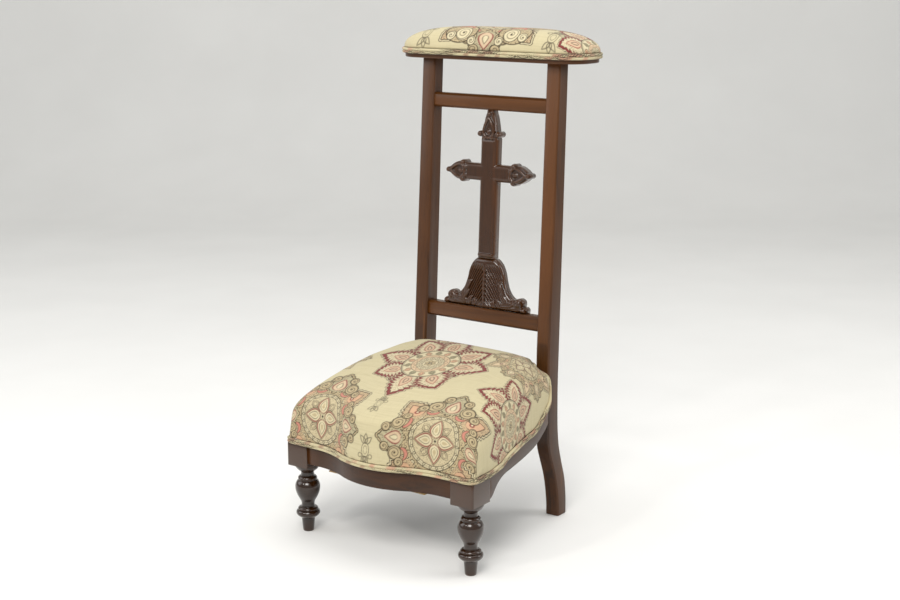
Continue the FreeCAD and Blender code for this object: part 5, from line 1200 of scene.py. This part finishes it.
def base_relief(x, z, d):
    ax = np.abs(x)
    # rounded ground falling away at the edge
    near = np.clip(7.0 + d, 0, 7.0)
    depth = 7.0 - np.sqrt(np.maximum(49.0 - near ** 2, 0))
    inner = np.clip(-d / 4.0, 0, 1)
    # middle of the bell bulges forward, with a vein down it
    swell = 3.6 * np.exp(-(x / 19.0) ** 2) * np.clip((488 - z) / 40, 0, 1)
    vein = 1.5 * np.exp(-(x / 1.7) ** 2) * np.clip((466 - z) / 14, 0, 1)
    # gouges running down and out from the vein
    ph = (z + 1.25 * ax + 0.012 * ax ** 2) / 8.6
    f = ph - np.floor(ph)
    cut = np.sin(np.pi * f ** 0.6) ** 1.2
    env = np.clip((470 - z) / 16, 0, 1) * np.clip((z - 391) / 10, 0, 1) * np.clip((ax - 1.2) / 2.5, 0, 1)
    side_env = np.clip((46 - ax) / 10, 0, 1)
    gouge = 4.6 * cut * env * side_env * inner
    # scroll and small curl at each foot
    p1 = np.hypot(ax - 75.0, z - 402.6)
    th1 = np.arctan2(z - 402.6, ax - 75.0)
    groove1 = 0.5 + 0.5 * np.cos(p1 / 1.35 - th1)
    boss1 = ball(p1, 9.8, 3.6) - 0.9 * groove1 * (p1 < 9.4)
    boss2 = ball(np.hypot(ax - 86.2, z - 391.6), 6.2, 2.8)
    # broad pointed lobes along the foot
    lobes = np.zeros_like(x)
    for cx, cz, ang, ln, wd in ((52.0, 398.0, 8, 17, 7.0), (44.0, 407.0, -52, 15, 6.0), (62.0, 401.5, 28, 13, 5.5),
                                (33.0, 395.5, -70, 12, 5.2), (22.0, 393.5, -82, 10, 4.8), (68.0, 392.0, 4, 13, 4.6),
                                (38.0, 424.0, -62, 15, 4.8), (52.0, 389.8, 2, 14, 3.6)):
        c_, s_ = math.cos(math.radians(ang)), math.sin(math.radians(ang))
        u_ = c_ * (ax - cx) + s_ * (z - cz)
        v_ = -s_ * (ax - cx) + c_ * (z - cz)
        rho = np.hypot(u_ / ln, v_ / wd)
        m_l = 2.6 * np.sqrt(np.clip(1 - rho ** 2, 0, 1)) - 0.8 * np.exp(-(v_ / 1.0) ** 2) * (rho < 0.85)
        lobes = np.maximum(lobes, m_l)
    out = np.maximum(np.maximum(boss1, boss2) * np.clip(1.2 + d * -0.3, 0.3, 1), lobes * inner)
    return depth + gouge * (lobes < 0.3) - swell - vein - out


base_front = lambda x, z, d: raked(x, z, 6.2 + base_relief(x, z, d))
base = plate("carved_base", base_distance, (-94.0, 94.0, 386.2, 480.6), 0.8, base_front, flat_back, [WOOD_CARVED])
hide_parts("cross_base")
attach(base, "root")

# cloth tacked under the seat: a slightly slack sheet with puckers at the tacks
src = nodes["dust_cover"]
dv = np.array([tuple(src.matrix_world @ v.co) for v in src.data.vertices]) * 1000.0
dv[:, 1] += SHIFT
low_y = np.unique(np.round(dv[:, 1], 1))
low_z = np.array([dv[np.abs(dv[:, 1] - y) < 0.3][:, 2].min() for y in low_y])
side_k = (154.0 - 202.0) / (128.0 + 136.1)
side_f = lambda y: 202.0 + side_k * (y + 136.1)
xs_f = np.linspace(-135, 135, 55)
out_r = [(157.1, -169.5), (157.1, -135.9), (side_f(-136) - 24.5, -135.9), (side_f(-109) - 24.5, -109.0),
         (side_f(-109) - 6.2, -109.0), (side_f(122.4) - 6.2, 122.4), (124.9, 122.4), (124.9, 137.8)]
DUST_OUT = [(x, float(front_line(x)) + 15.2) for x in xs_f] + out_r + [(-x, y) for x, y in out_r[::-1]]


def dust_distance(x, y):
    return polygon_distance(x, y, DUST_OUT)


def dust_point(x, y, d, lower):
    z = np.interp(y, low_y, low_z)
    slack = np.clip(-d / 26.0, 0, 1)
    sag = 1.5 * slack ** 1.5 + 0.35 * slack * np.sin(x / 31.0 + 1.3 * np.sin(y / 44.0)) * np.sin(y / 37.0 + 0.7)
    edge_p = np.exp(-np.maximum(-d - 2, 0) / 9.0) * 0.35 * (1 + np.sin(x / 4.2) * np.sin(y / 4.2)) * np.clip(-d / 3, 0, 1)
    return np.stack([x, y - SHIFT, z - 0.02 - sag - edge_p - lower], -1) * MM


dust_sheet = plate("dust_cloth", dust_distance, (-192.0, 192.0, -206.0, 139.0), 3.4,
                   lambda x, y, d: dust_point(x, y, d, 0.45), lambda x, y, d: dust_point(x, y, d, 0.0), [DUST], True)
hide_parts("dust_cover")
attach(dust_sheet, "root")

# carried-over CAD nodes
for n, m in (("corner_block_front_left", RAW), ("corner_block_front_right", RAW),
             ("corner_block_rear_left", RAW), ("corner_block_rear_right", RAW),
             ("front_rail_dowels", RAW), ("side_rail_dowels", RAW), ("rear_rail_dowels", RAW),
             ("webbing_lengthwise", JUTE), ("webbing_crosswise", JUTE), ("burlap_deck", BURLAP),
             ("dust_cover_tacks", TACK), ("seat_springs", STEEL),
             ("armrest_screws", SCREW)):
    if n in nodes:
        nodes[n].data.materials.clear()
        nodes[n].data.materials.append(m)

# =====================================================================
# floor, light, camera
# =====================================================================
fm, fnt, fb = new_mat("floor")
tcf = fnt.nodes.new("ShaderNodeTexCoord")
fn = add(fnt, "ShaderNodeTexNoise", Scale=3.0, Detail=3.0)
fnt.links.new(tcf.outputs["Object"], fn.inputs["Vector"])
fc = ramp(fnt, fn.outputs["Fac"], [(0.3, (0.83, 0.82, 0.80)), (0.7, (0.86, 0.85, 0.83))])
fnt.links.new(fc, fb.inputs["Base Color"])
fb.inputs["Roughness"].default_value = 0.7
R = 9.0
fv, ff = [], []
seg = 40
prof = [(-R, 0.0)] + [(3.2 + 1.6 * math.sin(t), 1.6 - 1.6 * math.cos(t)) for t in np.linspace(0, math.pi / 2, 14)] + [(4.8, 7.0)]
for k in (-1, 1):
    for y, z in prof:
        fv.append((k * R, y, z))
m_ = len(prof)
for i in range(m_ - 1):
    ff.append((i, i + m_, i + m_ + 1, i + 1))
floor = mesh_object("floor", fv, ff, [fm])
floor.rotation_euler[2] = math.radians(35.746)


def area(name, loc, target, size, power, color=(1, 1, 1)):
    d = bpy.data.lights.new(name, "AREA")
    d.shape = "DISK" if isinstance(size, float) else "RECTANGLE"
    if isinstance(size, float):
        d.size = size
    else:
        d.size, d.size_y = size
    d.energy = power
    d.color = color
    o = link(bpy.data.objects.new(name, d))
    o.location = loc
    o.rotation_euler = (Vector(target) - Vector(loc)).to_track_quat("-Z", "Y").to_euler()
    return o


area("key", (1.2, -2.6, 3.0), (0, 0, 0.35), (1.6, 1.6), 88, (1.0, 0.98, 0.95))
area("fill", (-2.6, -1.6, 2.0), (0, 0, 0.4), (2.2, 2.2), 30, (0.97, 0.98, 1.0))
area("top", (0.3, 0.4, 3.6), (0, 0, 0.3), (2.4, 2.4), 48)
area("spark", (-0.4, -2.2, 1.9), (0, 0, 0.45), 0.22, 9, (1.0, 0.98, 0.95))
area("rim", (2.4, 1.6, 1.8), (0, 0, 0.5), (1.2, 1.8), 22)
w = bpy.data.worlds.new("studio")
bpy.context.scene.world = w
w.use_nodes = True
w.node_tree.nodes["Background"].inputs[0].default_value = (0.93, 0.95, 0.94, 1)
w.node_tree.nodes["Background"].inputs[1].default_value = 0.46

cam_data = bpy.data.cameras.new("camera")
cam_data.sensor_width = 36.0
cam_data.lens = 63.058
cam_data.clip_end = 50
cam = link(bpy.data.objects.new("camera", cam_data))
cam.location = (1.6278, (-2229.5 - SHIFT) * MM, 1.0400)
cam.rotation_euler = (math.radians(90 - 12.528), 0, math.radians(35.746))
bpy.context.scene.camera = cam
bpy.context.scene.view_settings.view_transform = "Standard"
